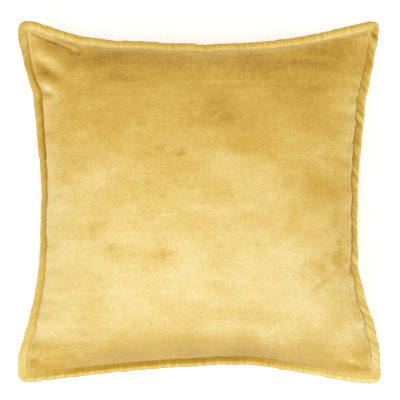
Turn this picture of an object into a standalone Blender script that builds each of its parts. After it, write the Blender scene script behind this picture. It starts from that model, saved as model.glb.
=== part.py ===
"""Velvet throw pillow: a square cover with a narrow flange, lying on its back.

Units are metres, +Z is up. The front panel faces up, the edge that is the
top of the pillow when it stands on a sofa points along +Y, and the zip runs
along X near the lower edge of the back.

The pillow is built in layers that share one grid of lines:
    cover (front panel, two back panels) > insert casing > insert filling.
Every layer is the same family of surface with its own inset, so that the
clearances between layers hold when a size is changed.
"""

import math

import bmesh
import bpy
import numpy as np
from mathutils import Matrix
from mathutils import Vector

# ---------------------------------------------------------------- cover size
HALF_WIDTH = 0.2440
HALF_LENGTH = 0.2440
FLANGE_WIDTH = 0.0100
PULL_LEFT = 0.0325
PULL_RIGHT = 0.0310
PULL_TOP = 0.0325
PULL_BOTTOM = 0.0245
PULL_REACH = 0.94
CORNER_CUT = 0.0026
FLANGE_HEIGHT = 0.0700
FRONT_CROWN = 0.0950
BACK_CROWN = 0.0850
CORNER_EMPTY = 0.35

# -------------------------------------------------------------- cloth layers
VELVET = 0.0012
SEAM_ALLOWANCE_LAYERS = 2
SEAM_GAP = 0.0003
EDGE_ROLL = 0.0015
EDGE_ROLL_RISE = 0.0006
CASING_CLOTH = 0.0006
LAYER_GAP = 0.00035
THREAD = 0.00030
TOPSTITCH_OFFSET = 0.0010
INSERT_THREAD = 0.00040
INSERT_EDGE_GAP = 0.00050

# ----------------------------------------------------------------------- zip
ZIP_INSET = 0.0350
ZIP_FIT_STEP = 0.0100
ZIP_TAPE_HALF_LENGTH = 0.1750
ZIP_CHAIN_HALF_LENGTH = 0.1600
SLIDER_RUN = 0.1500
OPENING_CLEARANCE = 0.0007
OPENING_FULL_TO = 0.1700
SEAM_SLOT_HALF_WIDTH = 0.00060
FOLD_WIDTH = 0.0078
FOLD_ENDS_AT = 0.2000
TAPE_THICKNESS = 0.0005
TAPE_HALF_SPAN = 0.0115
TAPE_INNER_EDGE = 0.0009
TAPE_GAP = 0.0006
COIL_INNER_EDGE = 0.00080
COIL_WIDTH = 0.0019
COIL_HEIGHT = 0.0014
RUN_GAP = 0.0003
STOP_LENGTH = 0.0030
STOP_THICKNESS = 0.0006
ZIP_DENT = 0.0039
DENT_FADE = 0.0140
RIBBON_MARGIN = 0.0010
RIBBON_FADE_ABOVE = 0.0420
RIBBON_FADE_BELOW = 0.0190
RIBBON_FADE_ASIDE = 0.0360

# --------------------------------------------------------------- zip slider
SLIDER_LENGTH = 0.0090
SLIDER_PLATE = 0.0009
SLIDER_KEEL = 0.0008
SLIDER_WALL = 0.0007
SLIDER_NECK_LENGTH = 0.0046
SINK = 0.0001
ARCH_SPAN = 0.0032
ARCH_POST = 0.0008
ARCH_WIDTH = 0.0012
ARCH_BAR = 0.0006
TAB_PIN_RADIUS = 0.00045
TAB_ARM_WIDTH = 0.0008
TAB_ARM_THICKNESS = 0.0008
TAB_GRIP_THICKNESS = 0.0010
TAB_LENGTH = 0.0175
TAB_WIDTH = 0.0052

# --------------------------------------------------------------------- label
LABEL_WIDTH = 0.0250
LABEL_REACH = 0.0160
LABEL_SEWN_UNDER = 0.0060
LABEL_CLOTH = 0.0004
LABEL_X = -0.0900

# ---------------------------------------------------------------------- grid
COLUMNS = 22
ROWS_BELOW_ZIP = 4
ROWS_ABOVE_ZIP = 13
ARC_STEPS = 24

BODY_HALF_WIDTH = HALF_WIDTH - FLANGE_WIDTH
BODY_HALF_LENGTH = HALF_LENGTH - FLANGE_WIDTH


# ------------------------------------------------------ shape of the pillow
def side_pull(share):
    """Return how far a side is drawn in, 1 at its middle and 0 at a corner."""
    reach = np.clip(np.abs(share) / PULL_REACH, 0.0, 1.0)
    return np.cos(0.5 * math.pi * reach)


def half_width(across, along):
    """Return the body's half width at a share of its length."""
    pull = np.where(across < 0.0, PULL_LEFT, PULL_RIGHT)
    return BODY_HALF_WIDTH - pull * side_pull(along)


def half_length(across, along):
    """Return the body's half length at a share of its width."""
    pull = np.where(along < 0.0, PULL_BOTTOM, PULL_TOP)
    return BODY_HALF_LENGTH - pull * side_pull(across)


def fullness(across, along):
    """Return the pillow's height as a share of its crown."""
    dome = np.sqrt(np.clip((1.0 - across**2) * (1.0 - along**2), 0.0, 1.0))
    return dome * (1.0 - CORNER_EMPTY * across**2 * along**2)


def dome_height(x, y):
    """Return the height of the plain dome of the back at X and Y."""
    across = np.array([x / BODY_HALF_WIDTH])
    along = np.array([y / BODY_HALF_LENGTH])
    for _ in range(8):
        across = x / half_width(across, along)
        along = y / half_length(across, along)
    return FLANGE_HEIGHT - BACK_CROWN * float(fullness(across, along)[0])


def dome_slope(x, y):
    """Return how steeply the dome rises towards the pillow's lower edge."""
    rise = dome_height(x, y - ZIP_FIT_STEP) - dome_height(x, y + ZIP_FIT_STEP)
    return rise / (2.0 * ZIP_FIT_STEP)


# ------------------------------------------------------------- worked sizes
FLANGE_LAYER = VELVET * SEAM_ALLOWANCE_LAYERS
ZIP_Y = -(BODY_HALF_LENGTH - PULL_BOTTOM - ZIP_INSET)
ZIP_HEIGHT = dome_height(0.0, ZIP_Y)
ZIP_RISE = dome_height(SLIDER_RUN, ZIP_Y) - ZIP_HEIGHT
ZIP_RADIUS = (SLIDER_RUN**2 + ZIP_RISE**2) / (2.0 * ZIP_RISE)
ZIP_SLOPE = (dome_slope(0.0, ZIP_Y) + dome_slope(SLIDER_RUN, ZIP_Y)) / 2.0
ZIP_TILT = math.atan(ZIP_SLOPE)
ZIP_CENTRE = Vector((0.0, ZIP_Y, ZIP_HEIGHT + ZIP_RADIUS))
SIN_TILT = math.sin(ZIP_TILT)
COS_TILT = math.cos(ZIP_TILT)
TAPE_TOP = -(FLANGE_LAYER + TAPE_GAP)
TAPE_BOTTOM = TAPE_TOP - TAPE_THICKNESS
COIL_BOTTOM = TAPE_TOP + RUN_GAP
COIL_TOP = COIL_BOTTOM + COIL_HEIGHT
PLATE_BOTTOM = COIL_TOP + RUN_GAP
PLATE_TOP = PLATE_BOTTOM + SLIDER_PLATE
KEEL_TOP = TAPE_BOTTOM - RUN_GAP
KEEL_BOTTOM = KEEL_TOP - SLIDER_KEEL
COIL_OUTER_EDGE = COIL_INNER_EDGE + COIL_WIDTH
SLIDER_HALF_WIDTH = COIL_OUTER_EDGE + RUN_GAP + SLIDER_WALL
NECK_HALF_WIDTH = COIL_INNER_EDGE - RUN_GAP
OPENING_HALF_WIDTH = SLIDER_HALF_WIDTH + OPENING_CLEARANCE
FOLD_EDGE = OPENING_HALF_WIDTH + FOLD_WIDTH
RIBBON_FLAT = FOLD_EDGE + RIBBON_MARGIN
TAB_AXIS_HEIGHT = PLATE_TOP + RUN_GAP + TAB_PIN_RADIUS
ARCH_INSIDE = TAB_AXIS_HEIGHT + TAB_PIN_RADIUS + RUN_GAP
ARCH_TOP = ARCH_INSIDE + ARCH_BAR
SLIDER_ANGLE = math.asin(SLIDER_RUN / ZIP_RADIUS)
TAB_HANG = math.atan(math.tan(SLIDER_ANGLE) / COS_TILT)
CASING_INSET = VELVET + 2.0 * (INSERT_EDGE_GAP + INSERT_THREAD)
CASING_DEPTH = VELVET + LAYER_GAP
FILLING_INSET = CASING_INSET + CASING_CLOTH + LAYER_GAP
FILLING_DEPTH = CASING_DEPTH + CASING_CLOTH + LAYER_GAP


def clear_scene():
    """Remove every object that the scene holds at the start."""
    for item in list(bpy.data.objects):
        bpy.data.objects.remove(item, do_unlink=True)


def new_collection(name):
    """Return a collection of this name, linked under the scene."""
    collection = bpy.data.collections.new(name)
    bpy.context.scene.collection.children.link(collection)
    return collection


def finish(name, colour, roughness, metallic=0.0):
    """Return a Principled material of this colour and gloss."""
    material = bpy.data.materials.new(name)
    material.use_nodes = True
    shader = material.node_tree.nodes["Principled BSDF"]
    shader.inputs["Base Color"].default_value = (*colour, 1.0)
    shader.inputs["Roughness"].default_value = roughness
    shader.inputs["Metallic"].default_value = metallic
    material.diffuse_color = (*colour, 1.0)
    return material


def add_object(name, mesh, material, collection):
    """Link a mesh as an object of this name with its material."""
    item = bpy.data.objects.new(name, mesh)
    mesh.materials.append(material)
    collection.objects.link(item)
    return item


def smooth_step(value, start, stop):
    """Return 0 before start, 1 after stop and a smooth ramp between."""
    share = np.clip((value - start) / (stop - start), 0.0, 1.0)
    return share * share * (3.0 - 2.0 * share)


def plan(across, along, inset):
    """Return X and Y of a layer whose edge is inset from the stitch line."""
    x = across * (half_width(across, along) - inset)
    y = along * (half_length(across, along) - inset)
    return x, y


def front_height(across, along, depth, base):
    """Return Z of a front layer, depth below the crown, from a base line."""
    share = fullness(across, along)
    return base + (FLANGE_HEIGHT + FRONT_CROWN - depth - base) * share


def ribbon_share(x, y):
    """Return how closely the back follows the zip's arc, from 0 to 1."""
    over = (y - ZIP_Y) / COS_TILT
    above = 1.0 - smooth_step(over, RIBBON_FLAT, RIBBON_FLAT + RIBBON_FADE_ABOVE)
    below = 1.0 - smooth_step(-over, RIBBON_FLAT, RIBBON_FLAT + RIBBON_FADE_BELOW)
    reach = ZIP_TAPE_HALF_LENGTH
    aside = 1.0 - smooth_step(np.abs(x), reach, reach + RIBBON_FADE_ASIDE)
    return np.where(over > 0.0, above, below) * aside


def back_height(across, along, depth, base, inset):
    """Return Z of a back layer: the dome, the flat rest and the zip's arc."""
    share = fullness(across, along)
    dome = base - (base - FLANGE_HEIGHT + BACK_CROWN - depth) * share
    dome = np.maximum(dome, depth)
    x, y = plan(across, along, inset)
    radius = ZIP_RADIUS + (y - ZIP_Y) * SIN_TILT / COS_TILT - depth / COS_TILT
    arc = ZIP_CENTRE.z - np.sqrt(radius**2 - x**2)
    outer_x, outer_y = plan(across, along, 0.0)
    share = ribbon_share(outer_x, outer_y)
    return np.maximum(dome * (1.0 - share) + arc * share, depth)


def zip_point(angle, over, out):
    """Return the world point at an angle round the zip's axis.

    over is the distance across the zip, positive up the pillow, and out is
    the height away from the pillow, 0 at the back panel's outer face.
    """
    radius = ZIP_RADIUS + over * SIN_TILT + out * COS_TILT
    y = ZIP_Y + over * COS_TILT - out * SIN_TILT
    x = radius * math.sin(angle)
    z = ZIP_CENTRE.z - radius * math.cos(angle)
    return Vector((x, y, z))


# ----------------------------------------------------------- shared grid
def column_shares():
    """Return the grid's columns, closer together towards the edges.

    The column nearest to each end of the zip opening is moved onto it.
    """
    shares = np.sin(0.5 * math.pi * np.linspace(-1.0, 1.0, COLUMNS + 1))
    for side in (-1.0, 1.0):
        reach = half_width(side, ZIP_Y / BODY_HALF_LENGTH)
        end = side * OPENING_FULL_TO / reach
        shares[np.argmin(np.abs(shares - end))] = end
    return shares


def along_for(across, y):
    """Return the share of the length at which a column reaches Y."""
    return y / half_length(across, np.full_like(across, -1.0))


def row_block(start, stop, count):
    """Return rows between two edges, spaced evenly round the dome."""
    first = np.arcsin(np.clip(start, -1.0, 1.0))
    last = np.arcsin(np.clip(stop, -1.0, 1.0))
    share = np.linspace(0.0, 1.0, count + 1)[:, None]
    return np.sin(first + (last - first) * share)


def slot_half_width(across):
    """Return half the gap between the two back panels for each column."""
    x = np.abs(across * half_width(across, ZIP_Y / BODY_HALF_LENGTH))
    inside = x < OPENING_FULL_TO + SINK
    return np.where(inside, OPENING_HALF_WIDTH, SEAM_SLOT_HALF_WIDTH)


def row_set(across, middle):
    """Return every row from the lower edge to the upper edge.

    middle holds the offsets across the zip of the rows at the opening.
    """
    step = FOLD_EDGE + 2.0 * VELVET
    low = along_for(across, ZIP_Y - step * COS_TILT)
    high = along_for(across, ZIP_Y + step * COS_TILT)
    below = row_block(np.full_like(across, -1.0), low, ROWS_BELOW_ZIP)
    above = row_block(high, np.full_like(across, 1.0), ROWS_ABOVE_ZIP)
    edge_low = along_for(across, ZIP_Y - FOLD_EDGE * COS_TILT)[None, :]
    edge_high = along_for(across, ZIP_Y + FOLD_EDGE * COS_TILT)[None, :]
    centre = [along_for(across, ZIP_Y + m * COS_TILT)[None, :] for m in middle]
    return np.concatenate([below, edge_low, *centre, edge_high, above])


def widened(values):
    """Return a grid with two more lines on each side for the flange."""
    return np.pad(values, 2, mode="edge")


def flange_offset(count):
    """Return how far each line lies outside the stitch line."""
    offset = np.zeros(count)
    offset[0] = -FLANGE_WIDTH
    offset[1] = -(FLANGE_WIDTH - EDGE_ROLL)
    offset[-1] = FLANGE_WIDTH
    offset[-2] = FLANGE_WIDTH - EDGE_ROLL
    return offset


def corner_trim(rows, columns):
    """Return the shortening that blunts each corner of the flange."""
    trim = np.zeros((rows, columns))
    for ring in (0, 1):
        for row in (ring, -1 - ring):
            for column in (ring, -1 - ring):
                trim[row, column] = CORNER_CUT
    return trim


def panel_plan(across, along, inset):
    """Return X and Y of a cover panel with its flange."""
    x, y = plan(across, along, inset)
    rows, columns = x.shape
    trim = corner_trim(rows, columns)
    out_x = flange_offset(columns)[None, :]
    out_y = flange_offset(rows)[:, None]
    keep_x = np.where(out_x != 0.0, np.sign(out_x) * inset, 0.0)
    keep_y = np.where(out_y != 0.0, np.sign(out_y) * inset, 0.0)
    x = x + out_x + keep_x - np.sign(out_x) * trim
    y = y + out_y + keep_y - np.sign(out_y) * trim
    return x, y


def edge_mask(rows, columns):
    """Return 1 on the outermost ring of lines and 0 inside it."""
    mask = np.ones((rows, columns))
    mask[1:-1, 1:-1] = 0.0
    return mask


# ------------------------------------------------------------ mesh builders
def cell_faces(grid, start, flip):
    """Return two triangles for each cell, split the same way on each layer.

    The split follows the quarter of the pillow that the cell lies in.
    """
    rows, columns = grid.shape[:2]
    middle = (grid[:-1, :-1] + grid[1:, 1:]) / 2.0
    same_sign = middle[..., 0] * middle[..., 1] > 0.0
    faces = []
    for row in range(rows - 1):
        for column in range(columns - 1):
            a = start + row * columns + column
            b = a + 1
            c = b + columns
            d = a + columns
            if same_sign[row, column]:
                pair = [(a, b, c), (a, c, d)]
            else:
                pair = [(a, b, d), (b, c, d)]
            for face in pair:
                faces.append(tuple(reversed(face)) if flip else face)
    return faces


def rim_indices(rows, columns):
    """Return the border of a grid as one loop, anticlockwise from above."""
    loop = list(range(columns))
    loop += [row * columns + columns - 1 for row in range(1, rows)]
    loop += [(rows - 1) * columns + c for c in range(columns - 2, -1, -1)]
    loop += [row * columns for row in range(rows - 2, 0, -1)]
    return loop


def layer_body(name, upper, lower, material, collection):
    """Return a closed body between an upper and a lower grid of points."""
    rows, columns = upper.shape[:2]
    count = rows * columns
    points = np.concatenate([upper.reshape(-1, 3), lower.reshape(-1, 3)])
    faces = cell_faces(upper, 0, False)
    faces += cell_faces(upper, count, True)
    loop = rim_indices(rows, columns)
    for here, there in zip(loop, loop[1:] + loop[:1], strict=True):
        faces.append((here, count + here, count + there, there))
    mesh = bpy.data.meshes.new(name)
    mesh.from_pydata(points.tolist(), [], faces)
    mesh.validate()
    return add_object(name, mesh, material, collection)


def pillow_body(name, upper, lower, material, collection):
    """Return a closed body whose two grids share their border points."""
    item = layer_body(name, upper, lower, material, collection)
    work = bmesh.new()
    work.from_mesh(item.data)
    bmesh.ops.remove_doubles(work, verts=work.verts, dist=0.00001)
    bmesh.ops.dissolve_degenerate(work, edges=work.edges, dist=0.000001)
    work.to_mesh(item.data)
    work.free()
    return item


def loft(name, rings, material, collection):
    """Return a body lofted through rings of equal count, with end caps."""
    count = len(rings[0])
    points = [tuple(p) for ring in rings for p in ring]
    faces = [tuple(range(count))]
    for step in range(len(rings) - 1):
        for side in range(count):
            a = step * count + side
            b = step * count + (side + 1) % count
            faces.append((a, a + count, b + count, b))
    last = (len(rings) - 1) * count
    faces.append(tuple(last + side for side in reversed(range(count))))
    mesh = bpy.data.meshes.new(name)
    mesh.from_pydata(points, [], faces)
    work = bmesh.new()
    work.from_mesh(mesh)
    bmesh.ops.recalc_face_normals(work, faces=work.faces)
    work.to_mesh(mesh)
    work.free()
    return add_object(name, mesh, material, collection)


def thread(name, points, radius, closed, material, collection):
    """Return a round thread laid through points, with closed ends."""
    curve = bpy.data.curves.new(name + "_path", "CURVE")
    curve.dimensions = "3D"
    curve.bevel_depth = radius
    curve.bevel_resolution = 0
    curve.use_fill_caps = True
    spline = curve.splines.new("POLY")
    spline.points.add(len(points) - 1)
    for slot, point in zip(spline.points, points, strict=True):
        slot.co = (point[0], point[1], point[2], 1.0)
    spline.use_cyclic_u = closed
    carrier = bpy.data.objects.new(name + "_path", curve)
    bpy.context.scene.collection.objects.link(carrier)
    bpy.context.view_layer.update()
    graph = bpy.context.evaluated_depsgraph_get()
    mesh = bpy.data.meshes.new_from_object(carrier.evaluated_get(graph))
    mesh.name = name
    mesh.materials.clear()
    bpy.data.objects.remove(carrier, do_unlink=True)
    bpy.data.curves.remove(curve)
    return add_object(name, mesh, material, collection)


def block(low, high):
    """Return a box mesh between two corners."""
    work = bmesh.new()
    bmesh.ops.create_cube(work, size=1.0)
    size = Vector(high) - Vector(low)
    middle = (Vector(high) + Vector(low)) / 2.0
    scale = Matrix.Diagonal((size.x, size.y, size.z, 1.0))
    bmesh.ops.transform(work, matrix=Matrix.Translation(middle) @ scale, verts=work.verts)
    mesh = bpy.data.meshes.new("block")
    work.to_mesh(mesh)
    work.free()
    return mesh


def rod(radius, length, sides):
    """Return a cylinder mesh along local Y, centred on the origin."""
    work = bmesh.new()
    turn = Matrix.Rotation(math.radians(90.0), 4, "X")
    bmesh.ops.create_cone(
        work,
        cap_ends=True,
        segments=sides,
        radius1=radius,
        radius2=radius,
        depth=length,
        matrix=turn,
    )
    mesh = bpy.data.meshes.new("rod")
    work.to_mesh(mesh)
    work.free()
    return mesh


def joined(name, first, steps, material, collection, cutters):
    """Return one body made from a first piece by joining and cutting."""
    item = add_object(name, first, material, collection)
    for number, (operation, piece) in enumerate(steps):
        tool = bpy.data.objects.new(f"{name}_piece_{number}", piece)
        tool.display_type = "WIRE"
        tool.hide_render = True
        cutters.objects.link(tool)
        change = item.modifiers.new(f"{operation.lower()}_{number}", "BOOLEAN")
        change.operation = operation
        change.solver = "EXACT"
        change.object = tool
    return item


# ------------------------------------------------------------------- cover
def front_cover(collection, material):
    """Build the front panel with its share of the flange."""
    across = column_shares()
    along = row_set(across, [-OPENING_HALF_WIDTH, OPENING_HALF_WIDTH])
    across = widened(np.broadcast_to(across, along.shape))
    along = widened(along)
    roll = edge_mask(*along.shape) * EDGE_ROLL_RISE
    base = FLANGE_HEIGHT + SEAM_GAP / 2.0
    top_x, top_y = panel_plan(across, along, 0.0)
    top_z = front_height(across, along, 0.0, base + FLANGE_LAYER) - roll
    low_x, low_y = panel_plan(across, along, VELVET)
    low_z = front_height(across, along, VELVET, base) + roll
    upper = np.stack([top_x, top_y, top_z], axis=-1)
    lower = np.stack([low_x, low_y, low_z], axis=-1)
    return layer_body("front_cover", upper, lower, material, collection)


def back_grids():
    """Return the outer and inner grids of the whole back with its flange."""
    columns = column_shares()
    slot = slot_half_width(columns)
    rows = row_set(columns, [-slot, slot])
    across = widened(np.broadcast_to(columns, rows.shape))
    along = widened(rows)
    edge = ROWS_BELOW_ZIP + 1
    sewn = np.zeros(along.shape)
    sewn[edge + 2 : edge + 6, :] = 1.0
    x = across * half_width(across, along)
    sewn = sewn * (1.0 - smooth_step(np.abs(x), OPENING_FULL_TO, FOLD_ENDS_AT))
    depth = VELVET + (FLANGE_LAYER - VELVET) * sewn
    roll = edge_mask(*along.shape) * EDGE_ROLL_RISE
    base = FLANGE_HEIGHT - SEAM_GAP / 2.0
    out_x, out_y = panel_plan(across, along, 0.0)
    out_z = back_height(across, along, 0.0, base - FLANGE_LAYER, 0.0) + roll
    in_x, in_y = panel_plan(across, along, VELVET)
    in_z = back_height(across, along, depth, base, VELVET) - roll
    outside = np.abs(np.sign(flange_offset(along.shape[0])))[:, None]
    outside = np.maximum(outside, np.abs(np.sign(flange_offset(along.shape[1])))[None, :])
    in_z = np.where(outside > 0.0, base - roll, in_z)
    outer = np.stack([out_x, out_y, out_z], axis=-1)
    inner = np.stack([in_x, in_y, in_z], axis=-1)
    return outer, inner, edge + 4


def back_cover(collection, material):
    """Build the two back panels that meet at the zip."""
    outer, inner, split = back_grids()
    layer_body("back_cover_lower", inner[:split], outer[:split], material, collection)
    layer_body("back_cover_upper", inner[split:], outer[split:], material, collection)


def ring_points(inset, height):
    """Return a closed ring round the pillow at an inset from the stitch line."""
    columns = column_shares()
    rows = row_set(columns, [np.zeros_like(columns)])
    across = np.broadcast_to(columns, rows.shape)
    x, y = plan(across, rows, inset)
    loop = rim_indices(*x.shape)
    flat_x = x.reshape(-1)
    flat_y = y.reshape(-1)
    return [(flat_x[i], flat_y[i], height) for i in loop]


def outline_points(inset, height):
    """Return the flange's outline as a ring, inset from its edge."""
    columns = column_shares()
    rows = row_set(columns, [np.zeros_like(columns)])
    across = widened(np.broadcast_to(columns, rows.shape))
    along = widened(rows)
    x, y = panel_plan(across, along, 0.0)
    loop = rim_indices(*x.shape)
    side = inset * np.sign(flange_offset(x.shape[1]))[None, :]
    end = inset * np.sign(flange_offset(x.shape[0]))[:, None]
    flat_x = (x - side).reshape(-1)
    flat_y = (y - end).reshape(-1)
    return [(flat_x[i], flat_y[i], height) for i in loop]


def flange_threads(collection, material):
    """Lay the edge seam and the two rows of flange stitching."""
    seam = outline_points(THREAD, FLANGE_HEIGHT)
    thread("edge_seam_thread", seam, THREAD, True, material, collection)
    lift = SEAM_GAP / 2.0 + FLANGE_LAYER + LAYER_GAP + THREAD
    front = ring_points(-TOPSTITCH_OFFSET, FLANGE_HEIGHT + lift)
    thread("flange_topstitch_front", front, THREAD, True, material, collection)
    back = ring_points(-TOPSTITCH_OFFSET, FLANGE_HEIGHT - lift)
    thread("flange_topstitch_back", back, THREAD, True, material, collection)


def seam_path(side):
    """Return the path of the back seam from the zip's end to the flange."""
    slot = slot_half_width(column_shares())
    outer, inner, split = back_grids()
    low = (outer[split - 1] + inner[split - 1]) / 2.0
    high = (outer[split] + inner[split]) / 2.0
    middle = (low + high) / 2.0
    narrow = np.concatenate([[True, True], slot < OPENING_HALF_WIDTH, [True, True]])
    keep = narrow & (np.sign(middle[:, 0]) == side)
    path = middle[keep]
    if side < 0:
        path = path[::-1]
    path[-1][0] -= side * EDGE_ROLL / 2.0
    return [tuple(point) for point in path]


def back_seams(collection, material):
    """Lay the two short seams that join the back panels beside the zip."""
    for name, side in (("left", -1.0), ("right", 1.0)):
        path = seam_path(side)
        thread(f"back_seam_thread_{name}", path, THREAD, False, material, collection)


# --------------------------------------------------------------------- zip
def arc_angles(first, last, steps):
    """Return angles round the zip's axis between two distances along it."""
    low = math.asin(first / ZIP_RADIUS)
    high = math.asin(last / ZIP_RADIUS)
    return [low + (high - low) * step / steps for step in range(steps + 1)]


def arc_body(name, first, last, profile, steps, material, collection):
    """Loft a profile (across, out) along the zip's arc."""
    rings = []
    for angle in arc_angles(first, last, steps):
        rings.append([zip_point(angle, over, out) for over, out in profile])
    return loft(name, rings, material, collection)


def rectangle(low, high, bottom, top):
    """Return a rectangular profile as (across, out) corners."""
    return [(low, bottom), (high, bottom), (high, top), (low, top)]


def rounded(low, high, bottom, top):
    """Return an eight-sided profile with its corners taken off."""
    cut = 0.28 * (top - bottom)
    return [
        (low + cut, bottom),
        (high - cut, bottom),
        (high, bottom + cut),
        (high, top - cut),
        (high - cut, top),
        (low + cut, top),
        (low, top - cut),
        (low, bottom + cut),
    ]


def zip_chain(collection, tape_finish, coil_finish):
    """Build the two tapes and the two rows of coil."""
    for name, side in (("upper", 1.0), ("lower", -1.0)):
        edges = sorted((side * TAPE_INNER_EDGE, side * TAPE_HALF_SPAN))
        tape = rectangle(edges[0], edges[1], TAPE_BOTTOM, TAPE_TOP)
        reach = ZIP_TAPE_HALF_LENGTH
        label = f"zip_tape_{name}"
        arc_body(label, -reach, reach, tape, ARC_STEPS, tape_finish, collection)
        edges = sorted((side * COIL_INNER_EDGE, side * COIL_OUTER_EDGE))
        coil = rounded(edges[0], edges[1], COIL_BOTTOM, COIL_TOP)
        reach = ZIP_CHAIN_HALF_LENGTH
        label = f"zip_coil_{name}"
        arc_body(label, -reach, reach, coil, ARC_STEPS, coil_finish, collection)


def zip_stops(collection, material):
    """Build the two top stops and the one bottom stop."""
    start = ZIP_CHAIN_HALF_LENGTH + RUN_GAP
    low = TAPE_TOP + RUN_GAP
    for name, side in (("upper", 1.0), ("lower", -1.0)):
        edges = sorted((side * COIL_INNER_EDGE, side * COIL_OUTER_EDGE))
        profile = rounded(edges[0], edges[1], low, low + COIL_HEIGHT)
        label = f"zip_top_stop_{name}"
        arc_body(label, start, start + STOP_LENGTH, profile, 2, material, collection)
    wide = COIL_OUTER_EDGE
    profile = rounded(-wide, wide, low, low + STOP_THICKNESS + COIL_HEIGHT / 2.0)
    arc_body("zip_bottom_stop", -start - STOP_LENGTH, -start, profile, 2, material, collection)


def zip_stitches(collection, material):
    """Lay one row of stitching on each side of the zip opening."""
    over = OPENING_HALF_WIDTH + FOLD_WIDTH / 2.0
    out = LAYER_GAP + THREAD
    reach = OPENING_FULL_TO - SLIDER_LENGTH
    for name, side in (("upper", 1.0), ("lower", -1.0)):
        path = [zip_point(a, side * over, out) for a in arc_angles(-reach, reach, ARC_STEPS)]
        thread(f"zip_stitch_{name}", path, THREAD, False, material, collection)


def slider_frame(angle):
    """Return the matrix from slider space to the world at an angle.

    In slider space X runs along the zip towards its open end, Y across it
    and Z away from the pillow, with the origin level with the panels.
    """
    along = Vector((-math.cos(angle), 0.0, -math.sin(angle)))
    fall = Vector((math.sin(angle), 0.0, -math.cos(angle)))
    over = Vector((0.0, COS_TILT, 0.0)) + fall * SIN_TILT
    out = Vector((0.0, -SIN_TILT, 0.0)) + fall * COS_TILT
    turn = Matrix((along, over, out)).transposed().to_4x4()
    return Matrix.Translation(zip_point(angle, 0.0, 0.0)) @ turn


def zip_slider(collection, cutters, material):
    """Build the slider: a channelled plate, its neck, its keel and its arch."""
    half = SLIDER_LENGTH / 2.0
    wide = SLIDER_HALF_WIDTH
    channel = wide - SLIDER_WALL
    neck = SLIDER_NECK_LENGTH / 2.0
    wall_low = TAPE_TOP + RUN_GAP
    inner = ARCH_SPAN / 2.0
    outer = inner + ARCH_POST
    post = ARCH_WIDTH / 2.0 - SINK
    plate = block((-half, -wide, wall_low), (half, wide, PLATE_TOP))
    low = (-SLIDER_LENGTH, -channel, wall_low - SLIDER_LENGTH)
    high = (SLIDER_LENGTH, channel, PLATE_BOTTOM)
    steps = [("DIFFERENCE", block(low, high))]
    low = (-neck, -NECK_HALF_WIDTH, KEEL_TOP - SINK)
    high = (neck, NECK_HALF_WIDTH, PLATE_BOTTOM + SINK)
    steps.append(("UNION", block(low, high)))
    low = (-half + SLIDER_WALL, -wide + SLIDER_WALL, KEEL_BOTTOM)
    high = (half - SLIDER_WALL, wide - SLIDER_WALL, KEEL_TOP)
    steps.append(("UNION", block(low, high)))
    for side in (-1.0, 1.0):
        edges = sorted((side * inner, side * outer))
        low = (edges[0], -post, PLATE_TOP - SINK)
        high = (edges[1], post, ARCH_INSIDE + SINK)
        steps.append(("UNION", block(low, high)))
    low = (-outer - SINK, -ARCH_WIDTH / 2.0, ARCH_INSIDE)
    high = (outer + SINK, ARCH_WIDTH / 2.0, ARCH_TOP)
    steps.append(("UNION", block(low, high)))
    return joined("zip_slider", plate, steps, material, collection, cutters)


def zip_pull_tab(collection, cutters, material):
    """Build the pull tab: a pin under the arch, two arms and a grip."""
    reach_x = ARCH_SPAN / 2.0 + ARCH_POST + SINK
    reach_z = ARCH_TOP - TAB_AXIS_HEIGHT
    clear = math.hypot(reach_x, reach_z) + RUN_GAP
    inner = ARCH_WIDTH / 2.0 + RUN_GAP
    outer = inner + TAB_ARM_WIDTH
    thick = TAB_ARM_THICKNESS / 2.0
    grip = TAB_GRIP_THICKNESS / 2.0
    head_top = clear + 2.0 * TAB_ARM_WIDTH
    head = block((-thick, -outer, 0.0), (thick, outer, head_top))
    slot = block((-grip, -inner, -clear), (grip, inner, clear))
    steps = [("DIFFERENCE", slot)]
    steps.append(("UNION", rod(TAB_PIN_RADIUS, 2.0 * (outer - SINK), 12)))
    low = (-grip, -TAB_WIDTH / 2.0, clear + TAB_ARM_WIDTH)
    high = (grip, TAB_WIDTH / 2.0, TAB_LENGTH)
    steps.append(("UNION", block(low, high)))
    return joined("zip_pull_tab", head, steps, material, collection, cutters)


def zip_slider_and_tab(collection, cutters, material):
    """Place the slider at the closed end and hang its tab from it."""
    frame = slider_frame(SLIDER_ANGLE)
    slider = zip_slider(collection, cutters, material)
    tab = zip_pull_tab(collection, cutters, material)
    pin = frame @ Matrix.Translation((0.0, 0.0, TAB_AXIS_HEIGHT))
    swing = Matrix.Rotation(TAB_HANG, 4, "Y")
    place_on_axis(slider, frame, ZIP_CENTRE)
    tab_frame = pin @ swing
    place_on_axis(tab, tab_frame, tab_frame.translation)
    return slider, tab


def place_on_axis(item, frame, origin):
    """Move a body into place and put its origin on its joint's axis."""
    shift = Matrix.Translation(-Vector(origin))
    for modifier in item.modifiers:
        if modifier.type == "BOOLEAN":
            modifier.object.data.transform(shift @ frame)
            modifier.object.location = origin
    item.data.transform(shift @ frame)
    item.location = origin


def back_point(x, y, depth):
    """Return the point of the back's layer at a depth under X and Y."""
    across = np.array([x / BODY_HALF_WIDTH])
    along = np.array([y / BODY_HALF_LENGTH])
    for _ in range(8):
        across = x / (half_width(across, along) - depth)
        along = y / (half_length(across, along) - depth)
    z = back_height(across, along, depth, FLANGE_HEIGHT, depth)
    return Vector((x, y, float(z[0])))


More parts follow.
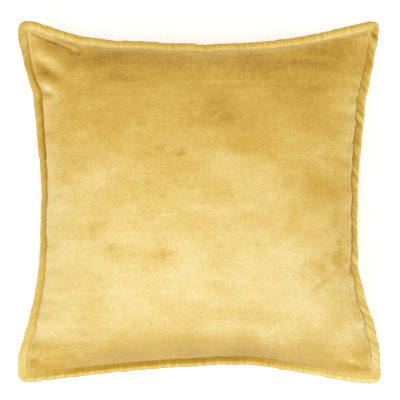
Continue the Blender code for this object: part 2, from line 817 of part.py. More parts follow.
def care_label(collection, material):
    """Build the blank care label, sewn in under the zip's lower tape."""
    sewn = FLANGE_LAYER + TAPE_GAP + TAPE_THICKNESS + LAYER_GAP
    start = TAPE_HALF_SPAN - LABEL_SEWN_UNDER
    bend = TAPE_HALF_SPAN + 0.0010
    stop = TAPE_HALF_SPAN + LABEL_REACH
    loose = VELVET + 2.0 * LAYER_GAP
    rings = []
    for part in (0.0, 0.5, 1.0):
        x = LABEL_X + part * LABEL_WIDTH
        top = []
        low = []
        for share in (-1.0, 0.0, 0.33, 0.66, 1.0):
            fall = max(share, 0.0)
            over = bend + (stop - bend) * fall if share >= 0.0 else start
            depth = sewn + (loose - sewn) * fall
            y = ZIP_Y - over * COS_TILT
            top.append(back_point(x, y, depth))
            low.append(back_point(x, y, depth + LABEL_CLOTH))
        rings.append(top + low[::-1])
    loft("care_label", rings, material, collection)


# ------------------------------------------------------------------ insert
def insert_grid(inset, depth, extra):
    """Return the front and back grids of an insert layer."""
    columns = column_shares()
    rows = row_set(columns, [np.zeros_like(columns)])
    across = np.broadcast_to(columns, rows.shape)
    outer_x, outer_y = plan(across, rows, 0.0)
    over = (outer_y - ZIP_Y) / COS_TILT
    flat = FOLD_EDGE + 3.0 * VELVET
    fade = np.exp(-(np.clip(np.abs(over) - flat, 0.0, None) / DENT_FADE) ** 2)
    aside = 1.0 - smooth_step(np.abs(outer_x), FOLD_ENDS_AT - DENT_FADE, FOLD_ENDS_AT + DENT_FADE)
    sunk = depth + extra * fade * aside
    x, y = plan(across, rows, inset)
    front_z = front_height(across, rows, depth, FLANGE_HEIGHT)
    back_z = back_height(across, rows, sunk, FLANGE_HEIGHT, inset)
    edge = edge_mask(*rows.shape) > 0.0
    back_z = np.where(edge, FLANGE_HEIGHT, back_z)
    front = np.stack([x, y, front_z], axis=-1)
    back = np.stack([x, y, back_z], axis=-1)
    return front, back


def shifted(grid, lift):
    """Return a grid moved up by a distance."""
    return grid + np.array([0.0, 0.0, lift])


def insert(collection, cloth_finish, fill_finish):
    """Build the insert's casing, its seam and the filling inside."""
    outer_front, outer_back = insert_grid(CASING_INSET, CASING_DEPTH, ZIP_DENT)
    inset = CASING_INSET + CASING_CLOTH
    depth = CASING_DEPTH + CASING_CLOTH
    inner_front, inner_back = insert_grid(inset, depth, ZIP_DENT)
    up = SEAM_GAP / 2.0
    layer_body(
        "insert_casing_front",
        shifted(outer_front, up),
        shifted(inner_front, up),
        cloth_finish,
        collection,
    )
    layer_body(
        "insert_casing_back",
        shifted(inner_back, -up),
        shifted(outer_back, -up),
        cloth_finish,
        collection,
    )
    front, back = insert_grid(FILLING_INSET, FILLING_DEPTH, ZIP_DENT)
    pillow_body("insert_filling", front, back, fill_finish, collection)
    ring = ring_points(VELVET + INSERT_EDGE_GAP + INSERT_THREAD, FLANGE_HEIGHT)
    thread("insert_seam_thread", ring, INSERT_THREAD, True, cloth_finish, collection)


def main():
    """Build every piece of the pillow."""
    clear_scene()
    pillow = new_collection("throw_pillow")
    cutters = new_collection("joining_pieces")
    velvet = finish("velvet_ochre", (0.62, 0.40, 0.07), 0.85)
    stitching = finish("thread_ochre", (0.50, 0.31, 0.05), 0.70)
    tape = finish("zip_tape_ochre", (0.48, 0.31, 0.06), 0.80)
    coil = finish("zip_coil_ochre", (0.45, 0.29, 0.06), 0.45)
    metal = finish("zip_metal", (0.55, 0.50, 0.40), 0.35, 1.0)
    satin = finish("label_satin", (0.88, 0.87, 0.84), 0.45)
    casing = finish("insert_cotton", (0.82, 0.80, 0.75), 0.90)
    filling = finish("insert_fibre", (0.90, 0.90, 0.88), 0.95)
    front_cover(pillow, velvet)
    back_cover(pillow, velvet)
    flange_threads(pillow, stitching)
    back_seams(pillow, stitching)
    zip_chain(pillow, tape, coil)
    zip_stops(pillow, metal)
    zip_stitches(pillow, stitching)
    zip_slider_and_tab(pillow, cutters, metal)
    care_label(pillow, satin)
    insert(pillow, casing, filling)


main()
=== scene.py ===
"""Looks of the velvet throw pillow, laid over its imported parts.

The pillow lies on its back: +Z is up, +Y is the edge that is the top when it
stands on a sofa, and the zip runs along X near the lower edge of the back.
Every length is in metres.
"""

import logging
import math
from dataclasses import dataclass
from dataclasses import field
from enum import Enum

import bpy
import numpy as np
from mathutils import Matrix
from mathutils import Vector

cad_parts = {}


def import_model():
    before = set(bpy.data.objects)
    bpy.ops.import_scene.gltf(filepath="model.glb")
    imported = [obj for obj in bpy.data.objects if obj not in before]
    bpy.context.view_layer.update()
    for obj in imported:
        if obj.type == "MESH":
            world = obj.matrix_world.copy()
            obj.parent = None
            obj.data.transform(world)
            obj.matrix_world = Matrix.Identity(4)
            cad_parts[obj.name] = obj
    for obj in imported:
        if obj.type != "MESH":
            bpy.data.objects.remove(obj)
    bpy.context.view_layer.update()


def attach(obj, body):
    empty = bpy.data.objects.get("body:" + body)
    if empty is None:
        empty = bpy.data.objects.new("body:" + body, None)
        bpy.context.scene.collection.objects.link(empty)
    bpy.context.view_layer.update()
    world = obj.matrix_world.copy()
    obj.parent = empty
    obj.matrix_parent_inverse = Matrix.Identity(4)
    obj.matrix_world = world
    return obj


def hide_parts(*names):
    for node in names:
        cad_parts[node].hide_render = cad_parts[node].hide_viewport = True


log = logging.getLogger("pillow")

Array = np.ndarray
Material = bpy.types.Material
Thing = bpy.types.Object
Socket = bpy.types.NodeSocket
Colour = tuple[float, float, float]
Arrays = tuple[Array, Array, Array]  # points, quads, triangles
Sides = tuple[bool, bool, bool, bool]  # left, right, bottom, top

HALF_PI = 0.5 * math.pi
THREAD_RADIUS = 0.0003
ALONG_X = np.array([1.0, 0.0, 0.0])
ALL_SIDES = (True, True, True, True)


# --- small helpers
def ease(value: Array, start: float, stop: float) -> Array:
    """Return 0 before start, 1 after stop and the smooth step between."""
    share = np.clip((value - start) / (stop - start), 0.0, 1.0)
    return share * share * (3.0 - 2.0 * share)


def bell(value: Array, middle: float, width: float) -> Array:
    """Return the bell curve e to the minus ((value - middle) / width)²."""
    return np.exp(-(((value - middle) / width) ** 2))


def unit(vectors: Array) -> Array:
    """Return vectors divided by their own lengths."""
    length = np.linalg.norm(vectors, axis=-1, keepdims=True)
    return vectors / np.maximum(length, 1e-12)


def ripples(place: Array, longest: float, shortest: float, seed: int) -> Array:
    """Return uneven waves along a line, about -1 to 1.

    Nine sines are added, their lengths spread by equal ratios between the
    longest and the shortest, each with its own seeded phase.
    """
    source = np.random.default_rng(seed)
    total = np.zeros_like(place)
    for length in np.geomspace(longest, shortest, 9):
        turn = source.uniform(0.0, 2.0 * math.pi)
        stretch = source.uniform(0.9, 1.1)
        total += np.sin(2.0 * math.pi * place / (length * stretch) + turn)
    return total / 3.2


def clouds(x: Array, y: Array, size: float, seed: int, octaves: int = 3) -> Array:
    """Return soft blotches over a plane, about -1 to 1.

    Seeded values sit on a square lattice of the given size and are blended
    by the smooth step inside each cell; each further octave halves both the
    size and the height.
    """
    total = np.zeros(np.broadcast(x, y).shape)
    height = 1.0
    for octave in range(octaves):
        values = np.random.default_rng(seed + octave).uniform(-1.0, 1.0, (97, 97))
        across, along = x / size + 48.3, y / size + 48.7
        column, row = np.floor(across).astype(int), np.floor(along).astype(int)
        a, b = across - column, along - row
        a, b = a * a * (3.0 - 2.0 * a), b * b * (3.0 - 2.0 * b)
        c0, c1, r0, r1 = column % 97, (column + 1) % 97, row % 97, (row + 1) % 97
        low = values[r0, c0] * (1.0 - a) + values[r0, c1] * a
        high = values[r1, c0] * (1.0 - a) + values[r1, c1] * a
        total += height * (low * (1.0 - b) + high * b)
        size, height = size * 0.5, height * 0.55
    return total / 1.35


def grid_normals(grid: Array) -> Array:
    """Return unit normals of a grid: the cross product of its two slopes."""
    along = np.gradient(grid, axis=0)
    across = np.gradient(grid, axis=1)
    return unit(np.cross(across, along))


def squircle(count: int, power: float) -> tuple[Array, Array]:
    """Return a rounded square about 0, out to 1.

    The cosine and the sine of a full turn, each raised to the power with its
    sign kept.
    """
    turn = np.linspace(0.0, 2.0 * math.pi, count, endpoint=False)
    across, along = np.cos(turn), np.sin(turn)
    return np.sign(across) * np.abs(across) ** power, np.sign(along) * np.abs(along) ** power


def inward_normals(outline: Array) -> Array:
    """Return the unit directions that point into a closed flat outline."""
    ahead = unit(np.roll(outline, -1, axis=0) - np.roll(outline, 1, axis=0))
    return np.stack([-ahead[:, 1], ahead[:, 0]], axis=-1)


# --- mesh builders
def signed_volume(points: Array, triangles: Array) -> float:
    """Return a closed mesh's volume, negative when it is inside out."""
    a, b, c = (points[triangles[:, k]] for k in range(3))
    return float(np.einsum("ij,ij->i", a, np.cross(b, c)).sum() / 6.0)


def mesh_piece(name: str, points: Array, quads: Array, triangles: Array) -> Thing:
    """Make a smooth-shaded object from whole arrays.

    Args:
        name: the piece's name.
        points: its corners, n by 3.
        quads: its four-sided faces, m by 4, which may be empty.
        triangles: its three-sided faces, k by 3, which may be empty.

    Returns:
        The linked object, turned so that its faces point outwards.
    """
    quads = np.asarray(quads, int).reshape(-1, 4)
    triangles = np.asarray(triangles, int).reshape(-1, 3)
    split = np.concatenate([quads[:, [0, 1, 2]], quads[:, [0, 2, 3]], triangles])
    if signed_volume(points, split) < 0.0:
        quads, triangles = quads[:, ::-1], triangles[:, ::-1]
    mesh = bpy.data.meshes.new(name)
    mesh.vertices.add(len(points))
    mesh.vertices.foreach_set("co", np.asarray(points, float).ravel())
    corners = np.concatenate([quads.ravel(), triangles.ravel()])
    sizes = np.concatenate([np.full(len(quads), 4), np.full(len(triangles), 3)])
    starts = np.concatenate([[0], np.cumsum(sizes)[:-1]])
    mesh.loops.add(len(corners))
    mesh.loops.foreach_set("vertex_index", corners)
    mesh.polygons.add(len(sizes))
    mesh.polygons.foreach_set("loop_start", starts)
    mesh.polygons.foreach_set("use_smooth", np.ones(len(sizes), bool))
    mesh.update(calc_edges=True)
    mesh.validate()
    piece = bpy.data.objects.new(name, mesh)
    bpy.context.scene.collection.objects.link(piece)
    return piece


def grid_quads(rows: int, columns: int, start: int = 0) -> Array:
    """Return the quads of a grid whose points are numbered row by row."""
    index = start + np.arange(rows * columns).reshape(rows, columns)
    cells = [index[:-1, :-1], index[:-1, 1:], index[1:, 1:], index[1:, :-1]]
    return np.stack(cells, axis=-1).reshape(-1, 4)


def border(rows: int, columns: int, start: int = 0) -> Array:
    """Return a grid's border as one loop, anticlockwise seen from above."""
    index = start + np.arange(rows * columns).reshape(rows, columns)
    sides = [index[0, :-1], index[:-1, -1], index[-1, :0:-1], index[:0:-1, 0]]
    return np.concatenate(sides)


def panel_piece(name: str, outer: Array, inner: Array) -> Thing:
    """Make a cloth panel: a fine outer face, a coarse inner face and a rim.

    Each cell of the inner border meets four cells of the outer border, and
    the rim is a fan of five triangles between them.
    """
    rows, columns = outer.shape[:2]
    low_rows, low_columns = inner.shape[:2]
    count = rows * columns
    points = np.concatenate([outer.reshape(-1, 3), inner.reshape(-1, 3)])
    under = grid_quads(low_rows, low_columns, count)[:, ::-1]
    quads = np.concatenate([grid_quads(rows, columns), under])
    fine = border(rows, columns)
    coarse = border(low_rows, low_columns, count)
    here, there = coarse, np.roll(coarse, -1)
    f = [np.roll(fine, -k)[::4] for k in range(5)]
    fans = [(f[0], here, f[1]), (f[1], here, f[2]), (f[2], here, there)]
    fans += [(f[2], there, f[3]), (f[3], there, f[4])]
    triangles = np.concatenate([np.stack(fan, axis=-1) for fan in fans])
    return mesh_piece(name, points, quads, triangles)


def pouch_piece(name: str, front: Array, back: Array) -> Thing:
    """Make a closed pouch from two grids that share their border."""
    rows, columns = front.shape[:2]
    count = rows * columns
    points = np.concatenate([front.reshape(-1, 3), back.reshape(-1, 3)])
    twin = np.arange(2 * count)
    twin[border(rows, columns, count)] = border(rows, columns)
    under = twin[grid_quads(rows, columns, count)[:, ::-1]]
    used = np.unique(np.concatenate([np.arange(count), under.ravel()]))
    renumber = np.zeros(2 * count, int)
    renumber[used] = np.arange(len(used))
    quads = np.concatenate([grid_quads(rows, columns), renumber[under]])
    return mesh_piece(name, points[used], quads, np.empty((0, 3)))


def loft_arrays(rings: Array, closed: bool) -> Arrays:
    """Join rings of points into a tube, with a fan over each open end.

    Args:
        rings: ring by point by 3, each ring closed on itself.
        closed: whether the last ring joins the first.

    Returns:
        The points, the quads and the end triangles.
    """
    count, sides = rings.shape[:2]
    index = np.arange(count * sides).reshape(count, sides)
    following = np.roll(index, -1, axis=0) if closed else index[1:]
    here = index if closed else index[:-1]
    cells = [here, np.roll(here, -1, axis=1), np.roll(following, -1, axis=1), following]
    quads = np.stack(cells, axis=-1).reshape(-1, 4)
    points = rings.reshape(-1, 3)
    if closed:
        return points, quads, np.empty((0, 3), int)
    middles = rings[[0, -1]].mean(axis=1)
    first, last = count * sides, count * sides + 1
    start, stop = index[0], index[-1]
    fans = [np.stack([np.roll(start, -1), start, np.full(sides, first)], axis=-1)]
    fans.append(np.stack([stop, np.roll(stop, -1), np.full(sides, last)], axis=-1))
    return np.concatenate([points, middles]), quads, np.concatenate(fans)


def joined_arrays(parts: list[Arrays]) -> Arrays:
    """Return several point, quad and triangle sets as one set."""
    shift, points, quads, triangles = 0, [], [], []
    for corner, four, three in parts:
        points.append(corner)
        quads.append(np.asarray(four, int).reshape(-1, 4) + shift)
        triangles.append(np.asarray(three, int).reshape(-1, 3) + shift)
        shift += len(corner)
    return np.concatenate(points), np.concatenate(quads), np.concatenate(triangles)


def tube_arrays(path: Array, side: Array, radius: float, sides: int, closed: bool) -> Arrays:
    """Carry a circle along a path.

    At each point the circle stands square to the path: its first axis is the
    path's direction crossed with side, its second is the direction crossed
    with the first.
    """
    if closed:
        heading = unit(np.roll(path, -1, axis=0) - np.roll(path, 1, axis=0))
    else:
        heading = unit(np.gradient(path, axis=0))
    first = unit(np.cross(heading, side))
    second = np.cross(heading, first)
    turn = np.linspace(0.0, 2.0 * math.pi, sides, endpoint=False)
    ring = np.cos(turn)[None, :, None] * first[:, None] + np.sin(turn)[None, :, None] * second[:, None]
    return loft_arrays(path[:, None] + radius * ring, closed)


def spaced_path(path: Array, spacing: float, closed: bool) -> Array:
    """Return points at even steps of length along a path."""
    line = np.concatenate([path, path[:1]]) if closed else path
    length = np.concatenate([[0.0], np.cumsum(np.linalg.norm(np.diff(line, axis=0), axis=1))])
    count = max(2, round(length[-1] / spacing))
    at = np.linspace(0.0, length[-1], count + 1)
    at = at[:-1] if closed else at
    return np.stack([np.interp(at, length, line[:, k]) for k in range(3)], axis=-1)


def stitch_arrays(path: Array, up: Array, pitch: float, closed: bool) -> Arrays:
    """Lay one stitch after another along a path.

    A stitch is a capsule of five rings of six points that covers 84% of the
    pitch. Its middle lies a radius over the path and its ends dip into it.

    Args:
        path: the sewing line, n by 3.
        up: the direction away from the cloth at each point of the path.
        pitch: the length of one stitch with its gap.
        closed: whether the line runs back into its start.

    Returns:
        The points, quads and triangles of every stitch.
    """
    radius = THREAD_RADIUS
    places = spaced_path(path, pitch, closed)
    ups = unit(spaced_path(path + up * 0.01, pitch, closed)[: len(places)] - places)
    following = np.roll(places, -1, axis=0)
    if not closed:
        places, following, ups = places[:-1], following[:-1], ups[:-1]
    heading = unit(following - places)
    middle = 0.5 * (places + following)
    ups = unit(ups - heading * np.einsum("ij,ij->i", ups, heading)[:, None])
    aside = np.cross(heading, ups)
    reach = 0.42 * np.linalg.norm(following - places, axis=1)
    along = np.array([-1.0, -0.72, 0.0, 0.72, 1.0])
    thick = np.array([0.45, 0.92, 1.0, 0.92, 0.45])
    lift = radius * np.array([-0.4, 0.45, 0.8, 0.45, -0.4])
    turn = np.linspace(0.0, 2.0 * math.pi, 6, endpoint=False)
    centre = middle[:, None] + along[None, :, None] * (reach[:, None] * heading)[:, None]
    centre = centre + lift[None, :, None] * ups[:, None]
    round_ = np.cos(turn)[None, None, :, None] * aside[:, None, None]
    round_ = round_ + np.sin(turn)[None, None, :, None] * ups[:, None, None]
    rings = centre[:, :, None] + radius * thick[None, :, None, None] * round_
    pattern = loft_arrays(rings[0], False)
    ends = rings[:, [0, -1]].mean(axis=2)
    points = np.concatenate([rings.reshape(len(rings), 30, 3), ends], axis=1)
    shift = 32 * np.arange(len(rings))[:, None, None]
    quads = (pattern[1][None] + shift).reshape(-1, 4)
    triangles = (pattern[2][None] + shift).reshape(-1, 3)
    return points.reshape(-1, 3), quads, triangles


def dress(piece: Thing, node: str, body: str, finish: Material) -> Thing:
    """Give a piece its finish and its body, and hide the imported node it stands for."""
    piece.data.materials.append(finish)
    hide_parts(node)
    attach(piece, body)
    return piece


def stitch_row(
    name: str, node: str, line: tuple[Array, Array], pitch: float, closed: bool, thread: Material
) -> Thing:
    """Sew one row of stitches as one piece.

    Args:
        name: the piece's name.
        node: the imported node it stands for.
        line: the sewing line and the way up from it.
        pitch: the length of one stitch with its gap.
        closed: whether the line runs back into its start.
        thread: the thread's material.

    Returns:
        The row, dressed.
    """
    piece = mesh_piece(name, *stitch_arrays(*line, pitch, closed))
    return dress(piece, node, "pillow", thread)


# --- material helpers
class Recipe:
    """One Principled material and short ways to add nodes to it."""

    def __init__(self, name: str) -> None:
        """Start a material of this name with its shader."""
        self.material = bpy.data.materials.new(name)
        self.material.use_nodes = True
        self.tree = self.material.node_tree
        self.shader = self.tree.nodes["Principled BSDF"]
        self.place = self.tree.nodes.new("ShaderNodeTexCoord").outputs["Object"]

    def feed(self, socket: Socket, value: object) -> None:
        """Link an output to a socket, or set the socket to a constant."""
        if isinstance(value, Socket):
            self.tree.links.new(value, socket)
        else:
            socket.default_value = value

    def scaled(self, scale: tuple[float, float, float], turn: float = 0.0) -> Socket:
        """Return the object's own coordinates, turned about Z and stretched."""
        node = self.tree.nodes.new("ShaderNodeMapping")
        node.inputs["Rotation"].default_value = (0.0, 0.0, turn)
        node.inputs["Scale"].default_value = scale
        self.feed(node.inputs["Vector"], self.place)
        return node.outputs["Vector"]

    def noise(self, scale: float, detail: float, at: object = None, twist: float = 0.0) -> Socket:
        """Return noise of this many lumps to the metre, 0 to 1."""
        node = self.tree.nodes.new("ShaderNodeTexNoise")
        node.inputs["Scale"].default_value = scale
        node.inputs["Detail"].default_value = detail
        node.inputs["Distortion"].default_value = twist
        self.feed(node.inputs["Vector"], self.place if at is None else at)
        return node.outputs["Fac"]

    def bands(self, scale: float, direction: str, twist: float) -> Socket:
        """Return even bands along one axis, 0 to 1."""
        node = self.tree.nodes.new("ShaderNodeTexWave")
        node.bands_direction = direction
        node.inputs["Scale"].default_value = scale
        node.inputs["Distortion"].default_value = twist
        node.inputs["Detail Scale"].default_value = 2.0
        self.feed(node.inputs["Vector"], self.place)
        return node.outputs["Fac"]

    def own(self, name: str) -> Socket:
        """Return a value that the mesh carries under this name."""
        node = self.tree.nodes.new("ShaderNodeAttribute")
        node.attribute_name = name
        return node.outputs["Fac"]

    def sum(self, kind: str, first: object, second: object) -> Socket:
        """Return one step of arithmetic on two values."""
        node = self.tree.nodes.new("ShaderNodeMath")
        node.operation = kind
        self.feed(node.inputs[0], first)
        self.feed(node.inputs[1], second)
        return node.outputs[0]

    def spread(self, value: object, low: float, high: float, start: float, stop: float) -> Socket:
        """Return a value moved from one range to another."""
        node = self.tree.nodes.new("ShaderNodeMapRange")
        for key, number in (("From Min", low), ("From Max", high), ("To Min", start), ("To Max", stop)):
            node.inputs[key].default_value = number
        self.feed(node.inputs["Value"], value)
        return node.outputs["Result"]

    def blend(self, share: object, first: object, second: object) -> Socket:
        """Return a mix of two colours."""
        node = self.tree.nodes.new("ShaderNodeMix")
        node.data_type = "RGBA"
        self.feed(node.inputs[0], share)
        for socket, value in ((node.inputs[6], first), (node.inputs[7], second)):
            self.feed(socket, (*value, 1.0) if isinstance(value, tuple) and len(value) == 3 else value)
        return node.outputs[2]

    def ramp(self, value: object, stops: list[tuple[float, Colour]]) -> Socket:
        """Return the colour that a value picks from a row of stops."""
        node = self.tree.nodes.new("ShaderNodeValToRGB")
        row = node.color_ramp.elements
        while len(row) < len(stops):
            row.new(0.5)
        for element, (place, colour) in zip(row, stops, strict=True):
            element.position = place
            element.color = (*colour, 1.0)
        self.feed(node.inputs["Fac"], value)
        return node.outputs["Color"]

    def bump(self, height: object, depth: float, strength: float, under: object = None) -> Socket:
        """Return a normal bent by a height, over an earlier bump."""
        node = self.tree.nodes.new("ShaderNodeBump")
        node.inputs["Strength"].default_value = strength
        node.inputs["Distance"].default_value = depth
        self.feed(node.inputs["Height"], height)
        if under is not None:
            self.feed(node.inputs["Normal"], under)
        return node.outputs["Normal"]

    def done(self, colour: object, rough: object, normal: object = None, **constants: object) -> Material:
        """Plug the last values into the shader.

        Args:
            colour: the base colour, a socket or three numbers.
            rough: the roughness, a socket or a number.
            normal: the bumped normal, if there is one.
            **constants: other shader inputs, words joined by underscores.

        Returns:
            The finished material.
        """
        self.feed(self.shader.inputs["Base Color"], (*colour, 1.0) if isinstance(colour, tuple) else colour)
        self.feed(self.shader.inputs["Roughness"], rough)
        if normal is not None:
            self.feed(self.shader.inputs["Normal"], normal)
        for key, value in constants.items():
            self.shader.inputs[key.replace("_", " ")].default_value = value
        return self.material


def level(red: float, green: float, blue: float) -> Colour:
    """Return a screen colour, 0 to 255, as the light that it stands for."""
    share = np.array([red, green, blue]) / 255.0
    light = np.where(share <= 0.04045, share / 12.92, ((share + 0.055) / 1.055) ** 2.4)
    return tuple(float(value) for value in light)


# --- finishes
@dataclass(frozen=True)
class Velvet:
    """Cut velvet: the pile tone with painted light and shade that the mesh carries picks its gold."""

    name: str = "gold_velvet"
    nap_scale: float = 900.0
    thread_pitch: float = 0.0011

    def material(self) -> Material:
        """Return the velvet: brushed gold, faint weave, soft pile sheen."""
        r = Recipe(self.name)
        pile = r.noise(self.nap_scale, 4.0)
        brushed = r.noise(1.0, 3.0, r.scaled((90.0, 560.0, 90.0), 0.05), 0.8)
        upright = r.noise(1.0, 3.0, r.scaled((640.0, 110.0, 90.0), -0.03), 0.8)
        flecks = r.noise(210.0, 4.0, None, 1.2)
        warp = r.bands(1.0 / (self.thread_pitch * 3.2), "X", 0.6)
        weft = r.bands(1.0 / (self.thread_pitch * 3.2), "Y", 0.6)
        weave = r.sum("MULTIPLY", warp, weft)
        # The pile's tone with painted light and shade, carried by the mesh.
        shade = r.own("pile_and_shade")
        for part, low, high, change in (
            (brushed, 0.25, 0.75, 0.040),
            (upright, 0.25, 0.75, 0.034),
            (flecks, 0.3, 0.7, 0.045),
            (weave, 0.0, 1.0, 0.020),
            (pile, 0.3, 0.7, 0.030),
        ):
            shade = r.sum("ADD", shade, r.spread(part, low, high, -change, change))
        # The golds that the pile tone and its painted light and shade pick from.
        stops = [
            (0.00, level(132, 94, 22)),
            (0.18, level(176, 132, 46)),
            (0.34, level(201, 158, 64)),
            (0.50, level(217, 179, 85)),
            (0.66, level(230, 203, 126)),
            (0.84, level(241, 223, 167)),
            (1.00, level(250, 237, 192)),
        ]
        # The flange's golds, which its painted light and shade pick from.
        rubbed = [
            (0.00, level(134, 98, 16)),
            (0.20, level(180, 142, 34)),
            (0.42, level(208, 172, 72)),
            (0.62, level(225, 196, 105)),
            (0.82, level(238, 216, 138)),
            (1.00, level(248, 232, 170)),
        ]
        colour = r.blend(r.own("hem"), r.ramp(shade, stops), r.ramp(shade, rubbed))
        # Painted shade along the body's lower edge: the gold is greyed towards a tan.
        colour = r.blend(r.own("bottom_shade"), colour, level(222, 204, 140))
        grain = r.bump(pile, 0.0005, 0.35)
        grain = r.bump(weave, 0.0003, 0.20, grain)
        grain = r.bump(brushed, 0.0006, 0.25, grain)
        return r.done(
            colour,
            r.spread(flecks, 0.2, 0.8, 0.78, 0.94),
            grain,
            Sheen_Weight=0.35,
            Sheen_Roughness=0.38,
            Sheen_Tint=(1.0, 0.86, 0.50, 1.0),
            Specular_IOR_Level=0.15,
        )


@dataclass(frozen=True)
class SewingThread:
    """Twisted polyester thread."""

    name: str
    colour: Colour

    def material(self) -> Material:
        """Return the thread: a tight twist with painted shade in its hollows."""
        r = Recipe(self.name)
        twist = r.bands(900.0, "DIAGONAL", 0.4)
        fuzz = r.noise(1800.0, 3.0)
        # Painted shade: the twist's hollows are a fifth darker.
        dark = tuple(0.80 * part for part in self.colour)
        colour = r.blend(r.sum("MULTIPLY", twist, fuzz), dark, self.colour)
        normal = r.bump(twist, 0.0002, 0.15)
        return r.done(colour, r.spread(fuzz, 0.2, 0.8, 0.70, 0.88), normal, Specular_IOR_Level=0.10)


@dataclass(frozen=True)
class WovenCloth:
    """A plain woven cloth or tape."""

    name: str
    light: Colour
    dark: Colour
    pitch: float
    rough: float = 0.85

    def material(self) -> Material:
        """Return the cloth: crossed threads, slubs and a little soiling."""
        r = Recipe(self.name)
        warp = r.bands(0.32 / self.pitch, "X", 0.3)
        weft = r.bands(0.32 / self.pitch, "Y", 0.3)
        weave = r.sum("MULTIPLY", warp, weft)
        slub = r.noise(1.0, 3.0, r.scaled((60.0, 700.0, 60.0)))
        soil = r.noise(14.0, 4.0)
        colour = r.blend(weave, self.dark, self.light)
        colour = r.blend(r.spread(slub, 0.35, 0.7, 0.0, 0.35), colour, self.dark)
        colour = r.blend(r.spread(soil, 0.45, 0.75, 0.0, 0.25), colour, self.dark)
        normal = r.bump(weave, 0.0003, 0.6)
        normal = r.bump(slub, 0.0004, 0.3, normal)
        rough = r.spread(weave, 0.0, 1.0, self.rough, self.rough - 0.12)
        return r.done(colour, rough, normal, Sheen_Weight=0.15)


@dataclass(frozen=True)
class CoilNylon:
    """Dyed nylon monofilament of the zip."""

    name: str = "nylon_coil"

    def material(self) -> Material:
        """Return the nylon: even gold, glossy, with fine drawn lines."""
        r = Recipe(self.name)
        lines = r.noise(1.0, 2.0, r.scaled((300.0, 3000.0, 3000.0)))
        worn = r.noise(160.0, 3.0)
        colour = r.blend(r.spread(worn, 0.35, 0.7, 0.0, 1.0), level(172, 124, 40), level(206, 160, 70))
        rough = r.spread(lines, 0.3, 0.7, 0.26, 0.42)
        return r.done(colour, rough, r.bump(lines, 0.0001, 0.4), Specular_IOR_Level=0.5)


@dataclass(frozen=True)
class AgedBrass:
    """Antique brass plating, rubbed brighter where fingers touch it."""

    name: str = "aged_brass"
    rubbed: Colour = field(default_factory=lambda: level(206, 172, 104))
    tarnish: Colour = field(default_factory=lambda: level(112, 84, 44))

    def material(self) -> Material:
        """Return the brass: tarnish in patches, fine scratches."""
        r = Recipe(self.name)
        patch = r.noise(420.0, 5.0, None, 0.6)
        scratch = r.noise(1.0, 3.0, r.scaled((700.0, 6000.0, 2500.0), 0.3))
        rub = r.spread(patch, 0.38, 0.66, 0.0, 1.0)
        colour = r.blend(rub, self.tarnish, self.rubbed)
        rough = r.sum("ADD", r.spread(patch, 0.3, 0.7, 0.46, 0.26), r.spread(scratch, 0.3, 0.7, -0.06, 0.08))
        normal = r.bump(scratch, 0.0001, 0.35)
        return r.done(colour, rough, r.bump(patch, 0.0002, 0.2, normal), Metallic=1.0)


@dataclass(frozen=True)
class LabelSatin:
    """Blank woven satin of the care label."""

    name: str = "label_satin"

    def material(self) -> Material:
        """Return the satin: off-white, with long floats along its width."""
        r = Recipe(self.name)
        floats = r.noise(1.0, 3.0, r.scaled((500.0, 5200.0, 500.0)))
        soil = r.noise(90.0, 3.0)
        colour = r.blend(floats, level(214, 208, 194), level(240, 236, 226))
        colour = r.blend(r.spread(soil, 0.5, 0.8, 0.0, 0.3), colour, level(196, 186, 164))
        rough = r.spread(floats, 0.3, 0.7, 0.32, 0.46)
        return r.done(colour, rough, r.bump(floats, 0.0001, 0.5), Sheen_Weight=0.2)


@dataclass(frozen=True)
class Fibrefill:
    """Loose polyester fibre."""

    name: str = "fibrefill"

    def material(self) -> Material:
        """Return the fibre: bright white tufts, with painted shade in the soft hollows between them."""
        r = Recipe(self.name)
        tufts = r.noise(70.0, 6.0, None, 1.5)
        strands = r.noise(900.0, 4.0, None, 2.5)
        # Painted shade: darker where the tufts dip into hollows.
        colour = r.blend(r.spread(tufts, 0.3, 0.7, 0.0, 1.0), level(214, 214, 210), level(246, 246, 243))
        normal = r.bump(tufts, 0.003, 0.7)
        normal = r.bump(strands, 0.0006, 0.6, normal)
        rough = r.spread(strands, 0.3, 0.7, 0.86, 0.98)
        return r.done(colour, rough, normal, Sheen_Weight=0.4, Sheen_Roughness=0.5)


@dataclass(frozen=True)
class PaperFloor:
    """Matt white paper under the pillow, bright enough to stay clean."""

    name: str = "white_paper"
    glow: float = 0.54

    def material(self) -> Material:
        """Return the paper: white with the faintest grain."""
        r = Recipe(self.name)
        grain = r.noise(90.0, 3.0)
        colour = r.blend(grain, (0.58, 0.58, 0.58), (0.62, 0.62, 0.62))
        white = (1.0, 1.0, 1.0, 1.0)
        normal = r.bump(grain, 0.0004, 0.1)
        return r.done(colour, 0.9, normal, Emission_Strength=self.glow, Emission_Color=white)


# --- pillow outline
@dataclass(frozen=True)
class Kink:
    """A short extra draw in one side, from a tuck in its seam."""

    place: float
    depth: float
    width: float


@dataclass(frozen=True)
class Side:
    """How one side is drawn in between its two corners.

    Places are shares of the half length, and depth is in metres. low is the
    side's end towards -X or -Y and high is the other.
    """

    depth: float
    middle: float
    low_reach: float
    high_reach: float
    low_power: float
    high_power: float
    kinks: tuple[Kink, ...] = ()
    firmness: float = 1.2
    inside: float = 0.950

    def draw(self, share: Array) -> Array:
        """Return how far the side lies inside its corners.

        The depth times (1 - (distance from the middle / reach)^power) to the
        firmness, plus a bell for each kink. inside turns a share of the
        stitch line into a share of the outer edge.
        """
        share = share * self.inside
        offset = share - self.middle
        reach = np.where(offset < 0.0, self.low_reach, self.high_reach)
        power = np.where(offset < 0.0, self.low_power, self.high_power)
        away = np.clip(np.abs(offset) / reach, 0.0, 1.0)
        total = self.depth * (1.0 - away**power) ** self.firmness
        for kink in self.kinks:
            total += kink.depth * bell(share, kink.place, kink.width)
        return total


